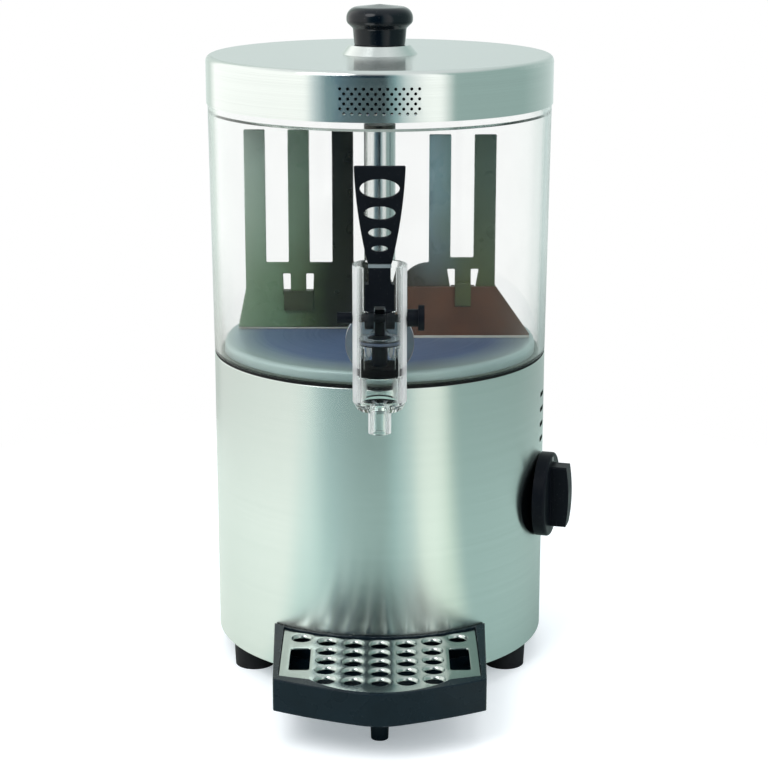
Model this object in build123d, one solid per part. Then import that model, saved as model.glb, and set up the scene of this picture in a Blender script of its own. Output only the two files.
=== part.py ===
from build123d import *
import os
from math import cos, degrees, radians, sin, sqrt, tan

# Hot chocolate dispenser: heated steel base, clear lift-off tank with a piston tap, driven stirrer,
# steel lid and a drip tray. Millimetres, +Z up, the tap towards -Y, the origin on the counter under
# the tank's axis.

# Clearances
RUNNING = 0.05  # radial, a shaft in its bush
SLIDING = 0.3  # parts that slide, swing or lift past each other
SEATED = 0.1  # a part dropped into its hole
ROUND_SHARE = 0.9  # the most of a wall that a rounding may take
LEAST_ROUND = 0.2

# Base casing
BODY_RADIUS = 115.0
SHELL_SHEET = 1.0
SHELL_HEIGHT = 200.0
SHELL_LIFT = 17.0  # counter to the casing's lower edge
SHELL_EDGE = 0.8
PLATE_SHEET = 1.5
PLATE_RECESS = 2.0
PLATE_FLANGE = 12.0

# Feet
FOOT_RADIUS = 14.5
FOOT_TIP_RADIUS = 13.6
FOOT_INSET = 16.0  # inside the casing's side
FOOT_TURN = 28.0  # degrees from the X axis
FOOT_POCKET_RADIUS = 5.0
FOOT_POCKET_DEPTH = 8.0
FOOT_SCREW_RADIUS = 2.5
FOOT_HEAD_RADIUS = 4.4
FOOT_HEAD_HEIGHT = 3.0
FOOT_NUT_RADIUS = 4.6
FOOT_NUT_HEIGHT = 4.0

# Heating pan and tank seal
PAN_STEP = 7.0  # casing's side to the pan's
PAN_RISE = 10.0  # pan floor above the casing's top
PAN_SHEET = 1.2
PAN_EDGE = 3.0
PAN_FLANGE = 4.5
SEAL_HEIGHT = 2.0
SEAL_LEG = 2.8
SPREADER_MARGIN = 20.0  # inside the pan's side
SPREADER_HEIGHT = 5.0
ELEMENT_MARGIN = 40.0  # inside the pan's side
ELEMENT_RADIUS = 4.2
ELEMENT_ARC = 300.0
ELEMENT_LEG = 22.0
CUTOUT_RADIUS = 8.0
CUTOUT_HEIGHT = 9.0
CUTOUT_CIRCLE = 38.0
CUTOUT_TAB_WIDTH = 4.8
CUTOUT_TAB_SHEET = 0.8

# Stirrer drive
STANDOFF_HEIGHT = 75.0
STANDOFF_RADIUS = 5.0
STANDOFF_CIRCLE = 46.0
STANDOFF_COUNT = 3
MOTOR_PLATE_RADIUS = 56.0
MOTOR_PLATE_SHEET = 3.0
GEARBOX_RADIUS = 34.0
GEARBOX_HEIGHT = 34.0
GEARBOX_BOSS_RADIUS = 11.0
GEARBOX_BOSS_HEIGHT = 8.0
MOTOR_RADIUS = 24.0
MOTOR_LENGTH = 52.0
MOTOR_SCREW_RADIUS = 1.8
MOTOR_SCREW_REACH = 8.0
MOTOR_SHAFT_RADIUS = 5.0
MOTOR_SHAFT_DEPTH = 16.0
COUPLING_RADIUS = 9.0
COUPLING_HALF = 12.0
COUPLING_GAP = 4.0
SHAFT_RADIUS = 4.0
SHAFT_SQUARE = 5.2
SHAFT_SQUARE_LENGTH = 9.0
COLUMN_RADIUS = 7.5
COLUMN_WALL = 2.0
COLUMN_FOOT_RADIUS = 17.0
COLUMN_FOOT_HEIGHT = 3.0
COLUMN_TAIL = 20.0  # below the pan
COLUMN_HEIGHT = 129.0  # above the pan floor
BUSH_LENGTH = 14.0

# Stirrer
SLEEVE_RADIUS = 10.8
SLEEVE_WALL = 1.2
SLEEVE_GAP = 4.0  # pan floor to the sleeve
CAP_GAP = 2.0  # column top to the cap
CAP_PLUG = 13.0
CAP_HEAD = 3.0
HUB_RADIUS = 14.0
HUB_HEIGHT = 36.0
BLADE_GAP = 1.6  # pan floor to the blades
BLADE_SHEET = 3.0
TINE_START = 18.3
TINE_WIDTH = 14.8
TINE_PITCH = 15.3
TINE_TOP = 141.0  # above the pan floor
LONG_ARM_TINES = (0, 2, 4)  # the arms' tines alternate outwards
SHORT_ARM_TINES = (1, 3)
LONG_ARM_GAP = 15.0  # inside the casing's side
LONG_ARM_WEB = 48.0  # gap bottoms of the three tines above the pan floor
LONG_ARM_BEND = 29.5
SHORT_ARM_GAP = 12.0
SHORT_ARM_WEB = 56.4
SHORT_ARM_BEND = 37.4
SHORT_ARM_SHOULDER = 53.0
BLADE_TOE = 1.5
RIB_CENTRE = 57.0
RIB_WIDTH = 11.0
RIB_SLOT_WIDTH = 5.3
RIB_SLOT_HEIGHT = 15.0
RIB_SLOT_DROP = 8.0  # gap bottom to the slot's top
LONG_SLOT_PINCH = 0.5
SHORT_SLOT_PINCH = 2.6
SCRAPER_SHEET = 1.8
SCRAPER_GAP = 0.5  # pan floor to the wiping edge
SCRAPER_START = 19.0
PRONG_HEIGHT = 3.0
LATCH_HEIGHT = 14.0

# Tank
TANK_HEIGHT = 170.0  # lower edge to the lid's seat
TANK_WALL = 4.0
TANK_FLARE = 1.7  # growth of the radius over the height
TANK_BAND = 4.4  # thick band under the lid
TANK_BAND_EXTRA = 1.6
TANK_LEDGE = 3.2
TANK_NECK = 8.0

# Lid
LID_OVERHANG = 0.8
LID_HEIGHT = 32.0
LID_SHEET = 1.0
LID_EDGE = 4.0
LID_BOSS_RADIUS = 26.0
LID_BOSS_HEIGHT = 6.0
LID_BOSS_SLOPE = 5.0
LID_RING_HEIGHT = 5.0
VENT_HOLE_RADIUS = 1.0
VENT_ROWS = 6
VENT_COLUMNS = 11
VENT_PITCH = 5.0  # along a row
VENT_ROW_PITCH = 3.1
VENT_DROP = 11.0  # lid top to the first row
LID_KNOB_RADIUS = 22.5
LID_KNOB_NECK_TOP = 18.2
LID_KNOB_NECK_BASE = 17.2
LID_KNOB_HEIGHT = 27.0
LID_KNOB_HEAD = 16.0
LID_KNOB_CROWN = 2.5
LID_KNOB_FLARE = 4.0
LID_KNOB_ROUNDS = (0.8, 2.0, 4.0, 7.5)  # foot, neck, shoulder and rim
LID_SCREW_RADIUS = 2.5
LID_SCREW_GRIP = 14.0
LID_SCREW_HEAD_RADIUS = 4.5
LID_SCREW_HEAD_HEIGHT = 3.0
BAFFLE_GAP = 1.2  # inside the tank's mouth
BAFFLE_SHEET = 1.5
BAFFLE_DROP = 29.0  # below the lid's top sheet
BAFFLE_FLANGE = 7.0
BAFFLE_ARC = 44.0  # degrees

# Tap
TAP_STANDOFF = 33.0  # tank's lower edge to the tap's axis
TAP_RADIUS = 17.0
TAP_WALL = 2.7
TAP_HEIGHT_OVER_PIVOT = 34.0
TAP_CHAMBER_RADIUS = 11.5
TAP_CHAMBER_DEPTH = 17.0
TAP_FLOOR = 5.0
NOZZLE_RADIUS = 7.2
NOZZLE_BORE = 4.0
NOZZLE_LENGTH = 16.0
SPIGOT_HEIGHT = 30.0  # tank's lower edge to the spigot's axis
SPIGOT_RADIUS = 10.0
SPIGOT_BORE = 6.0
SPIGOT_FLANGE_RADIUS = 22.0
SPIGOT_FLANGE_SHEET = 4.0
GASKET_SHEET = 1.5
TAP_NUT_RADIUS = 15.5
TAP_NUT_SHEET = 4.5
SPIGOT_TAIL = 1.0
TAP_FOOT_RADIUS = 14.2
FLOW_GROOVES = 4
FLOW_GROOVE_RADIUS = 1.6
VALVE_MARGIN = 0.8
SEAL_DISC_HEIGHT = 6.5
SEAL_DISC_EDGE = 1.5
PISTON_DISC_HEIGHT = 3.6
PISTON_STEM_RADIUS = 5.0
PISTON_RING_RADIUS = 1.0
PISTON_TONGUE_SHEET = 6.4
PISTON_TONGUE_CROWN = 3.0  # above the lever pin
LEVER_ARM = 8.0
LEVER_TRAVEL = 36.0  # degrees
LEVER_BOSS_RADIUS = 7.0
LEVER_FORK_WIDTH = 18.0
LEVER_FORK_RISE = 22.0
LEVER_NECK_WIDTH = 13.6
LEVER_STEM_DEPTH = 8.0
LEVER_PIN_RADIUS = 1.5
LEVER_LUG_WALL = 1.2
COLLAR_HEIGHT = 2.0
COLLAR_PROUD = 0.4
PADDLE_SINK = 0.5  # paddle's foot above the tap's rim
TANG_WIDTH = 7.0
TANG_DEPTH = 2.4
TANG_LENGTH = 6.0
PIVOT_RADIUS = 2.5
PIVOT_END_RADIUS = 3.5
PIVOT_END_LENGTH = 9.4
PIVOT_HUB_RADIUS = 5.5
PIVOT_HUB_LENGTH = 6.9
PIVOT_KNOB_RADIUS = 8.0
PIVOT_KNOB_SHEET = 3.8
PADDLE_HEIGHT = 61.5
PADDLE_TOP_HALF = 15.8
PADDLE_WAIST_HALF = 13.2  # half way down
PADDLE_FOOT_HALF = 7.4
PADDLE_SHEET = 4.5
PADDLE_EDGE = 0.9
PADDLE_LEAN = 6.0
PADDLE_BOW = 1.5  # lean half way up
PADDLE_WINDOWS = ((24.4, 12.2, 14.2), (19.2, 8.6, 29.6), (14.0, 6.2, 42.0), (10.0, 4.0, 52.0))

# Thermostat
DIAL_TURN = -15.5  # degrees from the X axis
DIAL_RISE = 102.5  # above the casing's lower edge
DIAL_RADIUS = 29.2
DIAL_HEIGHT = 8.8
DIAL_EDGE = 2.0
DIAL_GAP = 0.8
GRIP_LENGTH = 43.0
GRIP_WIDTH = 14.0
GRIP_HEIGHT = 12.5
GRIP_CROWN = 1.8  # bulge of the outer end
GRIP_EDGE = 1.5
POINTER_WIDTH = 2.0
POINTER_LENGTH = 3.0
POINTER_DEPTH = 0.6
SPINDLE_RADIUS = 3.0
SPINDLE_GRIP = 12.0
DIAL_NUT_RADIUS = 8.0
DIAL_NUT_HEIGHT = 3.0
THERMOSTAT_BUSH_RADIUS = 5.0
THERMOSTAT_WIDTH = 34.0
THERMOSTAT_TALL = 40.0
THERMOSTAT_DEPTH = 26.0

# Side louvres above the dial
LOUVRE_TURN = -13.0
LOUVRE_COUNT = 4
LOUVRE_PITCH = 10.7
LOUVRE_LENGTH = 12.0
LOUVRE_HEIGHT = 3.4
LOUVRE_RISE = 141.0  # lowest louvre above the casing's lower edge

# Rear of the base
REAR_TURN = 90.0  # degrees from the X axis
GLAND_RISE = 24.0
GLAND_BORE = 4.0
GLAND_RADIUS = 9.5
GLAND_LENGTH = 16.0
GLAND_DOME_RADIUS = 8.0
GLAND_THREAD_RADIUS = 7.0
GLAND_THREAD_LENGTH = 12.0
GLAND_NUT_HEIGHT = 5.0
SWITCH_RISE = 62.0
SWITCH_WIDTH = 15.0
SWITCH_TALL = 21.0
SWITCH_BEZEL = 2.0
SWITCH_BODY_WIDTH = 12.6
SWITCH_BODY_TALL = 18.6
SWITCH_DEPTH = 20.0
ROCKER_WIDTH = 9.0
ROCKER_TALL = 15.0
ROCKER_TILT = 8.0  # degrees each way
ROCKER_PROUD = 2.0
ROCKER_DEPTH = 5.0  # below the casing
ROCKER_PIN_RADIUS = 1.2
ROCKER_PIN_LENGTH = 11.5
TERMINAL_SIZE = (34.0, 16.0, 14.0)
TERMINAL_OFFSET = 42.0
TERMINAL_EDGE = 1.0

# Drip tray and grid
TRAY_LIFT = 26.0
TRAY_HEIGHT = 21.5
TRAY_WALL = 3.0
TRAY_REAR_WALL = 2.4
TRAY_FLOOR = 2.5
TRAY_GAP = 1.0
TRAY_REAR_HALF = 71.0
TRAY_FRONT_HALF = 67.5
TRAY_CORNER_DEPTH = 71.5  # in front of the casing
TRAY_APEX_DEPTH = 98.0
TRAY_APEX_ROUND = 42.0
TRAY_BULGE = 2.0
TRAY_CORNER = 2.5
TRAY_EDGE = 0.8
TRAY_LEDGE = 1.2
TONGUE_WIDTH = 16.0
TONGUE_HEIGHT = 3.0
TONGUE_SPAN = 76.0
TONGUE_RISE = 8.0
TONGUE_REACH = 8.0
TRAY_FOOT_DEPTH = 55.0
TRAY_FOOT_RADIUS = 6.6
TRAY_FOOT_TIP = 5.6
TRAY_PEG_RADIUS = 3.0
GRID_SHEET = 2.4
GRID_SINK = 1.0  # grid top below the tray's rim
GRID_HALF = 64.5
GRID_CORNER_DEPTH = 66.0  # in front of the casing
GRID_SHOULDER_HALF = 44.5
GRID_SHOULDER_DEPTH = 72.0
GRID_DEPTH = 92.5
GRID_COLUMNS = 5
GRID_ROWS = 5
GRID_PITCH = 17.2
GRID_ROW_PITCH = 15.2
GRID_FIRST_ROW = 12.6  # in front of the casing
DRAIN_RADIUS = 5.6
DRAIN_LIP = 1.8  # slope pressed round a drain hole
FINGER_WIDTH = 13.0
FINGER_LENGTH = 35.6
FINGER_EDGE = 1.5
FINGER_GAP = 17.6  # outer hole's centre to the slot's rear edge

# Sizes worked out from those above
PAN_RADIUS = BODY_RADIUS - PAN_STEP
SPREADER_RADIUS = PAN_RADIUS - SPREADER_MARGIN
ELEMENT_CIRCLE = PAN_RADIUS - ELEMENT_MARGIN
FOOT_CIRCLE = BODY_RADIUS - FOOT_INSET
LONG_ARM_TIP = BODY_RADIUS - LONG_ARM_GAP
SHORT_ARM_TIP = BODY_RADIUS - SHORT_ARM_GAP
TRAY_CORNER_REACH = BODY_RADIUS + TRAY_CORNER_DEPTH
TRAY_APEX_REACH = BODY_RADIUS + TRAY_APEX_DEPTH
TRAY_FOOT_REACH = BODY_RADIUS + TRAY_FOOT_DEPTH
GRID_CORNER_REACH = BODY_RADIUS + GRID_CORNER_DEPTH
GRID_SHOULDER_REACH = BODY_RADIUS + GRID_SHOULDER_DEPTH
GRID_REACH = BODY_RADIUS + GRID_DEPTH
SHELL_BOTTOM = SHELL_LIFT
SHELL_TOP = SHELL_LIFT + SHELL_HEIGHT
PLATE_BOTTOM = SHELL_BOTTOM + PLATE_RECESS
PLATE_TOP = PLATE_BOTTOM + PLATE_SHEET
PAN_TOP = SHELL_TOP + PAN_RISE
PAN_UNDER = PAN_TOP - PAN_SHEET
TANK_BOTTOM = SHELL_TOP + SEAL_HEIGHT
LID_SEAT = TANK_BOTTOM + TANK_HEIGHT
LID_TOP = LID_SEAT + LID_HEIGHT
BOSS_TOP = LID_TOP + LID_BOSS_HEIGHT
MOTOR_PLATE_BOTTOM = PLATE_TOP + STANDOFF_HEIGHT
GEARBOX_BOTTOM = MOTOR_PLATE_BOTTOM + MOTOR_PLATE_SHEET
GEARBOX_TOP = GEARBOX_BOTTOM + GEARBOX_HEIGHT
COUPLING_BOTTOM = GEARBOX_TOP + GEARBOX_BOSS_HEIGHT + COUPLING_GAP
COUPLING_MIDDLE = COUPLING_BOTTOM + COUPLING_HALF
COLUMN_TOP = PAN_TOP + COLUMN_HEIGHT
CAP_BOTTOM = COLUMN_TOP + CAP_GAP
SLEEVE_TOP = CAP_BOTTOM + CAP_PLUG
BLADE_BOTTOM = PAN_TOP + BLADE_GAP
TAP_REACH = BODY_RADIUS + TAP_STANDOFF
TAP_BORE = TAP_RADIUS - TAP_WALL
SPIGOT_Z = TANK_BOTTOM + SPIGOT_HEIGHT
SEAT_Z = SPIGOT_Z - SPIGOT_BORE - VALVE_MARGIN - SEAL_DISC_HEIGHT
PISTON_DISC_Z = SPIGOT_Z + SPIGOT_BORE + VALVE_MARGIN
LEVER_LIFT = LEVER_ARM * radians(LEVER_TRAVEL)
PIVOT_Z = PISTON_DISC_Z + PISTON_DISC_HEIGHT + LEVER_LIFT + SLIDING + LEVER_BOSS_RADIUS
TAP_TOP = PIVOT_Z + TAP_HEIGHT_OVER_PIVOT
TAP_CHAMBER_FLOOR = SEAT_Z - TAP_CHAMBER_DEPTH
TAP_BOTTOM = TAP_CHAMBER_FLOOR - TAP_FLOOR
NOZZLE_TIP = TAP_BOTTOM - NOZZLE_LENGTH
DIAL_Z = SHELL_BOTTOM + DIAL_RISE
GLAND_Z = SHELL_BOTTOM + GLAND_RISE
SWITCH_Z = SHELL_BOTTOM + SWITCH_RISE
TRAY_TOP = TRAY_LIFT + TRAY_HEIGHT
GRID_TOP = TRAY_TOP - GRID_SINK
GRID_BOTTOM = GRID_TOP - GRID_SHEET
UPRIGHT = (Align.CENTER, Align.CENTER, Align.MIN)
HANGING = (Align.CENTER, Align.CENTER, Align.MAX)
BEHIND = (Align.CENTER, Align.MIN, Align.MIN)


def disc(radius, low, high):
    """Upright cylinder about the Z axis between two heights."""
    return Pos(0, 0, low) * Cylinder(radius, high - low, align=UPRIGHT)


def ring(outer, inner, low, high):
    """Upright tube about the Z axis between two heights."""
    return disc(outer, low, high) - disc(inner, low, high)


def taper(low_radius, high_radius, low, high):
    """Upright cone about the Z axis between two heights."""
    return Pos(0, 0, low) * Cone(low_radius, high_radius, high - low, align=UPRIGHT)


def turned(*corners, rounds=None):
    """Turn a closed (radius, height) outline about the Z axis; rounds are the corners' radii."""
    radii = rounds or [0] * len(corners)
    outline = FilletPolyline(*corners, radius=radii, close=True)
    return revolve(Plane.XZ * make_face(outline), Axis.Z)


def radial_plane(turn, reach, height):
    """Plane facing out of the casing at an angle from +X, with its own Y axis upwards."""
    out = Vector(cos(radians(turn)), sin(radians(turn)), 0)
    along = Vector(-sin(radians(turn)), cos(radians(turn)), 0)
    return Plane(out * reach + Vector(0, 0, height), x_dir=along, z_dir=out)


def inside_flat(radius, width):
    """Distance from the axis of a flat of this width whose edges touch a circle from inside."""
    return sqrt(radius**2 - (width / 2) ** 2)


def foot_places():
    """The four feet, the same distance either side of the X axis."""
    turns = (FOOT_TURN, 180 - FOOT_TURN, 180 + FOOT_TURN, -FOOT_TURN)
    return [Pos(FOOT_CIRCLE * cos(radians(t)), FOOT_CIRCLE * sin(radians(t))) for t in turns]


def standoff_places():
    """The pillars under the motor plate."""
    return list(PolarLocations(STANDOFF_CIRCLE, STANDOFF_COUNT, start_angle=90))


def hexagon(across_radius, low, high):
    """Upright hexagonal nut blank."""
    return Pos(0, 0, low) * extrude(RegularPolygon(across_radius, 6), high - low)


def gathered(solids):
    """Separate solids kept together in one node."""
    return Compound(children=list(solids))


# Base casing


def base_shell():
    edge = min(SHELL_EDGE, ROUND_SHARE * SHELL_SHEET)
    mouth = PAN_RADIUS + SEATED
    wall = BODY_RADIUS - SHELL_SHEET
    shell = turned(
        (wall, SHELL_BOTTOM),
        (BODY_RADIUS, SHELL_BOTTOM),
        (BODY_RADIUS, SHELL_TOP),
        (mouth, SHELL_TOP),
        (mouth, SHELL_TOP - SHELL_SHEET),
        (wall, SHELL_TOP - SHELL_SHEET),
        rounds=[0, 0, edge, 0, 0, 0],
    )
    shell -= louvre_cutters()
    dial = radial_plane(DIAL_TURN, 0, DIAL_Z)
    shell -= dial * Cylinder(THERMOSTAT_BUSH_RADIUS + SEATED, 2 * BODY_RADIUS, align=UPRIGHT)
    gland = radial_plane(REAR_TURN, 0, GLAND_Z)
    shell -= gland * Cylinder(GLAND_THREAD_RADIUS + SEATED, 2 * BODY_RADIUS, align=UPRIGHT)
    switch = radial_plane(REAR_TURN, 0, SWITCH_Z)
    opening = Rectangle(SWITCH_BODY_WIDTH + 2 * SEATED, SWITCH_BODY_TALL + 2 * SEATED)
    shell -= extrude(switch * opening, 2 * BODY_RADIUS)
    return shell - tray_tongues(SLIDING)


def louvre_cutters():
    cutters = []
    for row in range(LOUVRE_COUNT):
        height = SHELL_BOTTOM + LOUVRE_RISE + row * LOUVRE_PITCH
        plane = radial_plane(LOUVRE_TURN, 0, height)
        slot = plane * SlotOverall(LOUVRE_LENGTH, LOUVRE_HEIGHT)
        cutters.append(extrude(slot, 2 * BODY_RADIUS))
    return cutters


def base_plate():
    rim = BODY_RADIUS - SHELL_SHEET - SEATED
    plate = disc(rim, PLATE_BOTTOM, PLATE_TOP)
    plate += ring(rim, rim - PLATE_SHEET, PLATE_BOTTOM, PLATE_BOTTOM + PLATE_FLANGE)
    holes = [place * disc(FOOT_SCREW_RADIUS + SEATED, PLATE_BOTTOM, PLATE_TOP) for place in foot_places()]
    plate -= holes
    return plate - tray_tongues(SLIDING)


def rubber_feet():
    foot = taper(FOOT_TIP_RADIUS, FOOT_RADIUS, 0, PLATE_BOTTOM)
    foot -= disc(FOOT_POCKET_RADIUS, 0, FOOT_POCKET_DEPTH)
    foot -= disc(FOOT_SCREW_RADIUS + SEATED, FOOT_POCKET_DEPTH, PLATE_BOTTOM)
    return gathered(place * foot for place in foot_places())


def foot_screws():
    head = disc(FOOT_HEAD_RADIUS, FOOT_POCKET_DEPTH - FOOT_HEAD_HEIGHT, FOOT_POCKET_DEPTH)
    screw = head + disc(FOOT_SCREW_RADIUS, FOOT_POCKET_DEPTH, PLATE_TOP + FOOT_NUT_HEIGHT)
    return gathered(place * screw for place in foot_places())


def foot_nuts():
    nut = hexagon(FOOT_NUT_RADIUS, PLATE_TOP, PLATE_TOP + FOOT_NUT_HEIGHT)
    nut -= disc(FOOT_SCREW_RADIUS, PLATE_TOP, PLATE_TOP + FOOT_NUT_HEIGHT)
    return gathered(place * nut for place in foot_places())


# Heating


def heating_pan():
    lip = SHELL_TOP - SHELL_SHEET
    eye = COLUMN_RADIUS + SEATED
    inner = PAN_RADIUS - PAN_SHEET
    return turned(
        (eye, PAN_TOP),
        (PAN_RADIUS, PAN_TOP),
        (PAN_RADIUS, lip),
        (PAN_RADIUS + PAN_FLANGE, lip),
        (PAN_RADIUS + PAN_FLANGE, lip - PAN_SHEET),
        (inner, lip - PAN_SHEET),
        (inner, PAN_UNDER),
        (eye, PAN_UNDER),
        rounds=[0, PAN_EDGE, 0, 0, 0, 0, max(PAN_EDGE - PAN_SHEET, LEAST_ROUND), 0],
    )


def tank_seal():
    inner = PAN_RADIUS + SEATED
    leg = BODY_RADIUS - TANK_WALL - SLIDING
    return turned(
        (inner, SHELL_TOP),
        (BODY_RADIUS - SLIDING, SHELL_TOP),
        (BODY_RADIUS - SLIDING, TANK_BOTTOM),
        (leg, TANK_BOTTOM),
        (leg, SHELL_TOP + SEAL_LEG),
        (inner, SHELL_TOP + SEAL_LEG),
    )


def heat_spreader():
    return ring(SPREADER_RADIUS, COLUMN_FOOT_RADIUS + SEATED, PAN_UNDER - SPREADER_HEIGHT, PAN_UNDER)


def heating_element():
    height = PAN_UNDER - SPREADER_HEIGHT - ELEMENT_RADIUS
    section = Plane.XZ * (Pos(ELEMENT_CIRCLE, height) * Circle(ELEMENT_RADIUS))
    loop = revolve(section, Axis.Z, ELEMENT_ARC)
    leg = Pos(ELEMENT_CIRCLE, 0) * disc(ELEMENT_RADIUS, height - ELEMENT_LEG, height)
    knee = Pos(ELEMENT_CIRCLE, 0, height) * Sphere(ELEMENT_RADIUS)
    for turn in (0, ELEMENT_ARC):
        loop += Rot(0, 0, turn) * leg
        loop += Rot(0, 0, turn) * knee
    return Rot(0, 0, REAR_TURN + (360 - ELEMENT_ARC) / 2) * loop


def safety_cutout():
    top = PAN_UNDER - SPREADER_HEIGHT
    body = disc(CUTOUT_RADIUS, top - CUTOUT_HEIGHT, top)
    for side in (-1, 1):
        tab = Box(CUTOUT_TAB_SHEET, CUTOUT_TAB_WIDTH, CUTOUT_HEIGHT, align=HANGING)
        body += Pos(side * CUTOUT_RADIUS / 2, 0, top - CUTOUT_HEIGHT) * tab
    return Pos(-CUTOUT_CIRCLE, 0) * body


# Stirrer drive


def centre_column():
    tube = disc(COLUMN_RADIUS, PAN_UNDER - COLUMN_TAIL, COLUMN_TOP)
    tube += disc(COLUMN_FOOT_RADIUS, PAN_UNDER - COLUMN_FOOT_HEIGHT, PAN_UNDER)
    return tube - disc(COLUMN_RADIUS - COLUMN_WALL, PAN_UNDER - COLUMN_TAIL, COLUMN_TOP)


def column_bushes():
    outer = COLUMN_RADIUS - COLUMN_WALL
    inner = SHAFT_RADIUS + RUNNING
    low = PAN_UNDER - COLUMN_TAIL
    lower = ring(outer, inner, low, low + BUSH_LENGTH)
    upper = ring(outer, inner, COLUMN_TOP - BUSH_LENGTH, COLUMN_TOP)
    return gathered((lower, upper))


def motor_standoffs():
    pillar = disc(STANDOFF_RADIUS, PLATE_TOP, MOTOR_PLATE_BOTTOM)
    return gathered(place * pillar for place in standoff_places())


def motor_plate():
    plate = ring(MOTOR_PLATE_RADIUS, MOTOR_RADIUS + SEATED, MOTOR_PLATE_BOTTOM, GEARBOX_BOTTOM)
    hole = disc(MOTOR_SCREW_RADIUS + SEATED, MOTOR_PLATE_BOTTOM, GEARBOX_BOTTOM)
    return plate - [place * hole for place in motor_screw_places()]


def gear_motor():
    motor = disc(GEARBOX_RADIUS, GEARBOX_BOTTOM, GEARBOX_TOP)
    motor += disc(GEARBOX_BOSS_RADIUS, GEARBOX_TOP, GEARBOX_TOP + GEARBOX_BOSS_HEIGHT)
    motor += disc(MOTOR_RADIUS, GEARBOX_BOTTOM - MOTOR_LENGTH, GEARBOX_BOTTOM)
    bore_bottom = GEARBOX_TOP - MOTOR_SHAFT_DEPTH
    motor -= disc(MOTOR_SHAFT_RADIUS + RUNNING, bore_bottom, GEARBOX_TOP + GEARBOX_BOSS_HEIGHT)
    screw = disc(MOTOR_SCREW_RADIUS, GEARBOX_BOTTOM, GEARBOX_BOTTOM + MOTOR_SCREW_REACH)
    return motor - [place * screw for place in motor_screw_places()]


def motor_screw_places():
    circle = (MOTOR_RADIUS + GEARBOX_RADIUS) / 2
    return list(PolarLocations(circle, STANDOFF_COUNT, start_angle=180 / STANDOFF_COUNT - 30))


def motor_screws():
    screw = disc(MOTOR_SCREW_RADIUS, MOTOR_PLATE_BOTTOM, GEARBOX_BOTTOM + MOTOR_SCREW_REACH)
    screw += disc(2 * MOTOR_SCREW_RADIUS, MOTOR_PLATE_BOTTOM - MOTOR_SCREW_RADIUS, MOTOR_PLATE_BOTTOM)
    return gathered(place * screw for place in motor_screw_places())


def motor_shaft():
    return disc(MOTOR_SHAFT_RADIUS, GEARBOX_TOP - MOTOR_SHAFT_DEPTH + SLIDING, COUPLING_MIDDLE)


def shaft_coupling():
    coupling = disc(COUPLING_RADIUS, COUPLING_BOTTOM, COUPLING_MIDDLE + COUPLING_HALF)
    coupling -= disc(MOTOR_SHAFT_RADIUS, COUPLING_BOTTOM, COUPLING_MIDDLE)
    return coupling - disc(SHAFT_RADIUS, COUPLING_MIDDLE, COUPLING_MIDDLE + COUPLING_HALF)


def drive_shaft():
    shaft = disc(SHAFT_RADIUS, COUPLING_MIDDLE, CAP_BOTTOM)
    square = Rectangle(SHAFT_SQUARE, SHAFT_SQUARE)
    return shaft + Pos(0, 0, CAP_BOTTOM) * extrude(square, SHAFT_SQUARE_LENGTH)


# Stirrer


def stirrer_sleeve():
    return ring(SLEEVE_RADIUS, SLEEVE_RADIUS - SLEEVE_WALL, PAN_TOP + SLEEVE_GAP, SLEEVE_TOP)


def stirrer_cap():
    cap = disc(SLEEVE_RADIUS - SLEEVE_WALL, CAP_BOTTOM, SLEEVE_TOP)
    cap += disc(SLEEVE_RADIUS, SLEEVE_TOP, SLEEVE_TOP + CAP_HEAD)
    socket = Rectangle(SHAFT_SQUARE + 2 * SEATED, SHAFT_SQUARE + 2 * SEATED)
    return cap - Pos(0, 0, CAP_BOTTOM) * extrude(socket, SHAFT_SQUARE_LENGTH + SEATED)


def tine_start(index):
    """Inner edge of a tine, counted outwards over both arms."""
    return TINE_START + index * TINE_PITCH


def upright_plate(face, low, high):
    """Stand a (radius, height) outline up between two depths in front of the axis."""
    return Pos(0, -low) * extrude(Plane.XZ * face, high - low)


def tine(index, web):
    left = tine_start(index)
    width = (left, left + TINE_WIDTH)
    low = PAN_TOP + web - BLADE_SHEET
    high = PAN_TOP + TINE_TOP
    corners = ((width[0], low), (width[1], low), (width[1], high), (width[0], high))
    return make_face(Polyline(*corners, close=True))


def rib_slots(web, pinch):
    """The two clip slots beside an arm's rib; pinch narrows their lower ends."""
    top = PAN_TOP + web - RIB_SLOT_DROP
    low = top - RIB_SLOT_HEIGHT
    slots = []
    for side in (-1, 1):
        near = RIB_CENTRE + side * RIB_WIDTH / 2
        far = near + side * RIB_SLOT_WIDTH
        corners = ((near, low), (far - side * pinch, low), (far, top), (near, top))
        slots.append(make_face(Polyline(*corners, close=True)))
    return slots


def long_arm_outline():
    outer = tine_start(LONG_ARM_TINES[-1]) + TINE_WIDTH
    return make_face(
        Polyline(
            (0, BLADE_BOTTOM),
            (LONG_ARM_TIP, BLADE_BOTTOM),
            (LONG_ARM_TIP, BLADE_BOTTOM + BLADE_TOE),
            (outer, PAN_TOP + LONG_ARM_BEND),
            (outer, PAN_TOP + LONG_ARM_WEB),
            (0, PAN_TOP + LONG_ARM_WEB),
            close=True,
        )
    )


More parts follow.
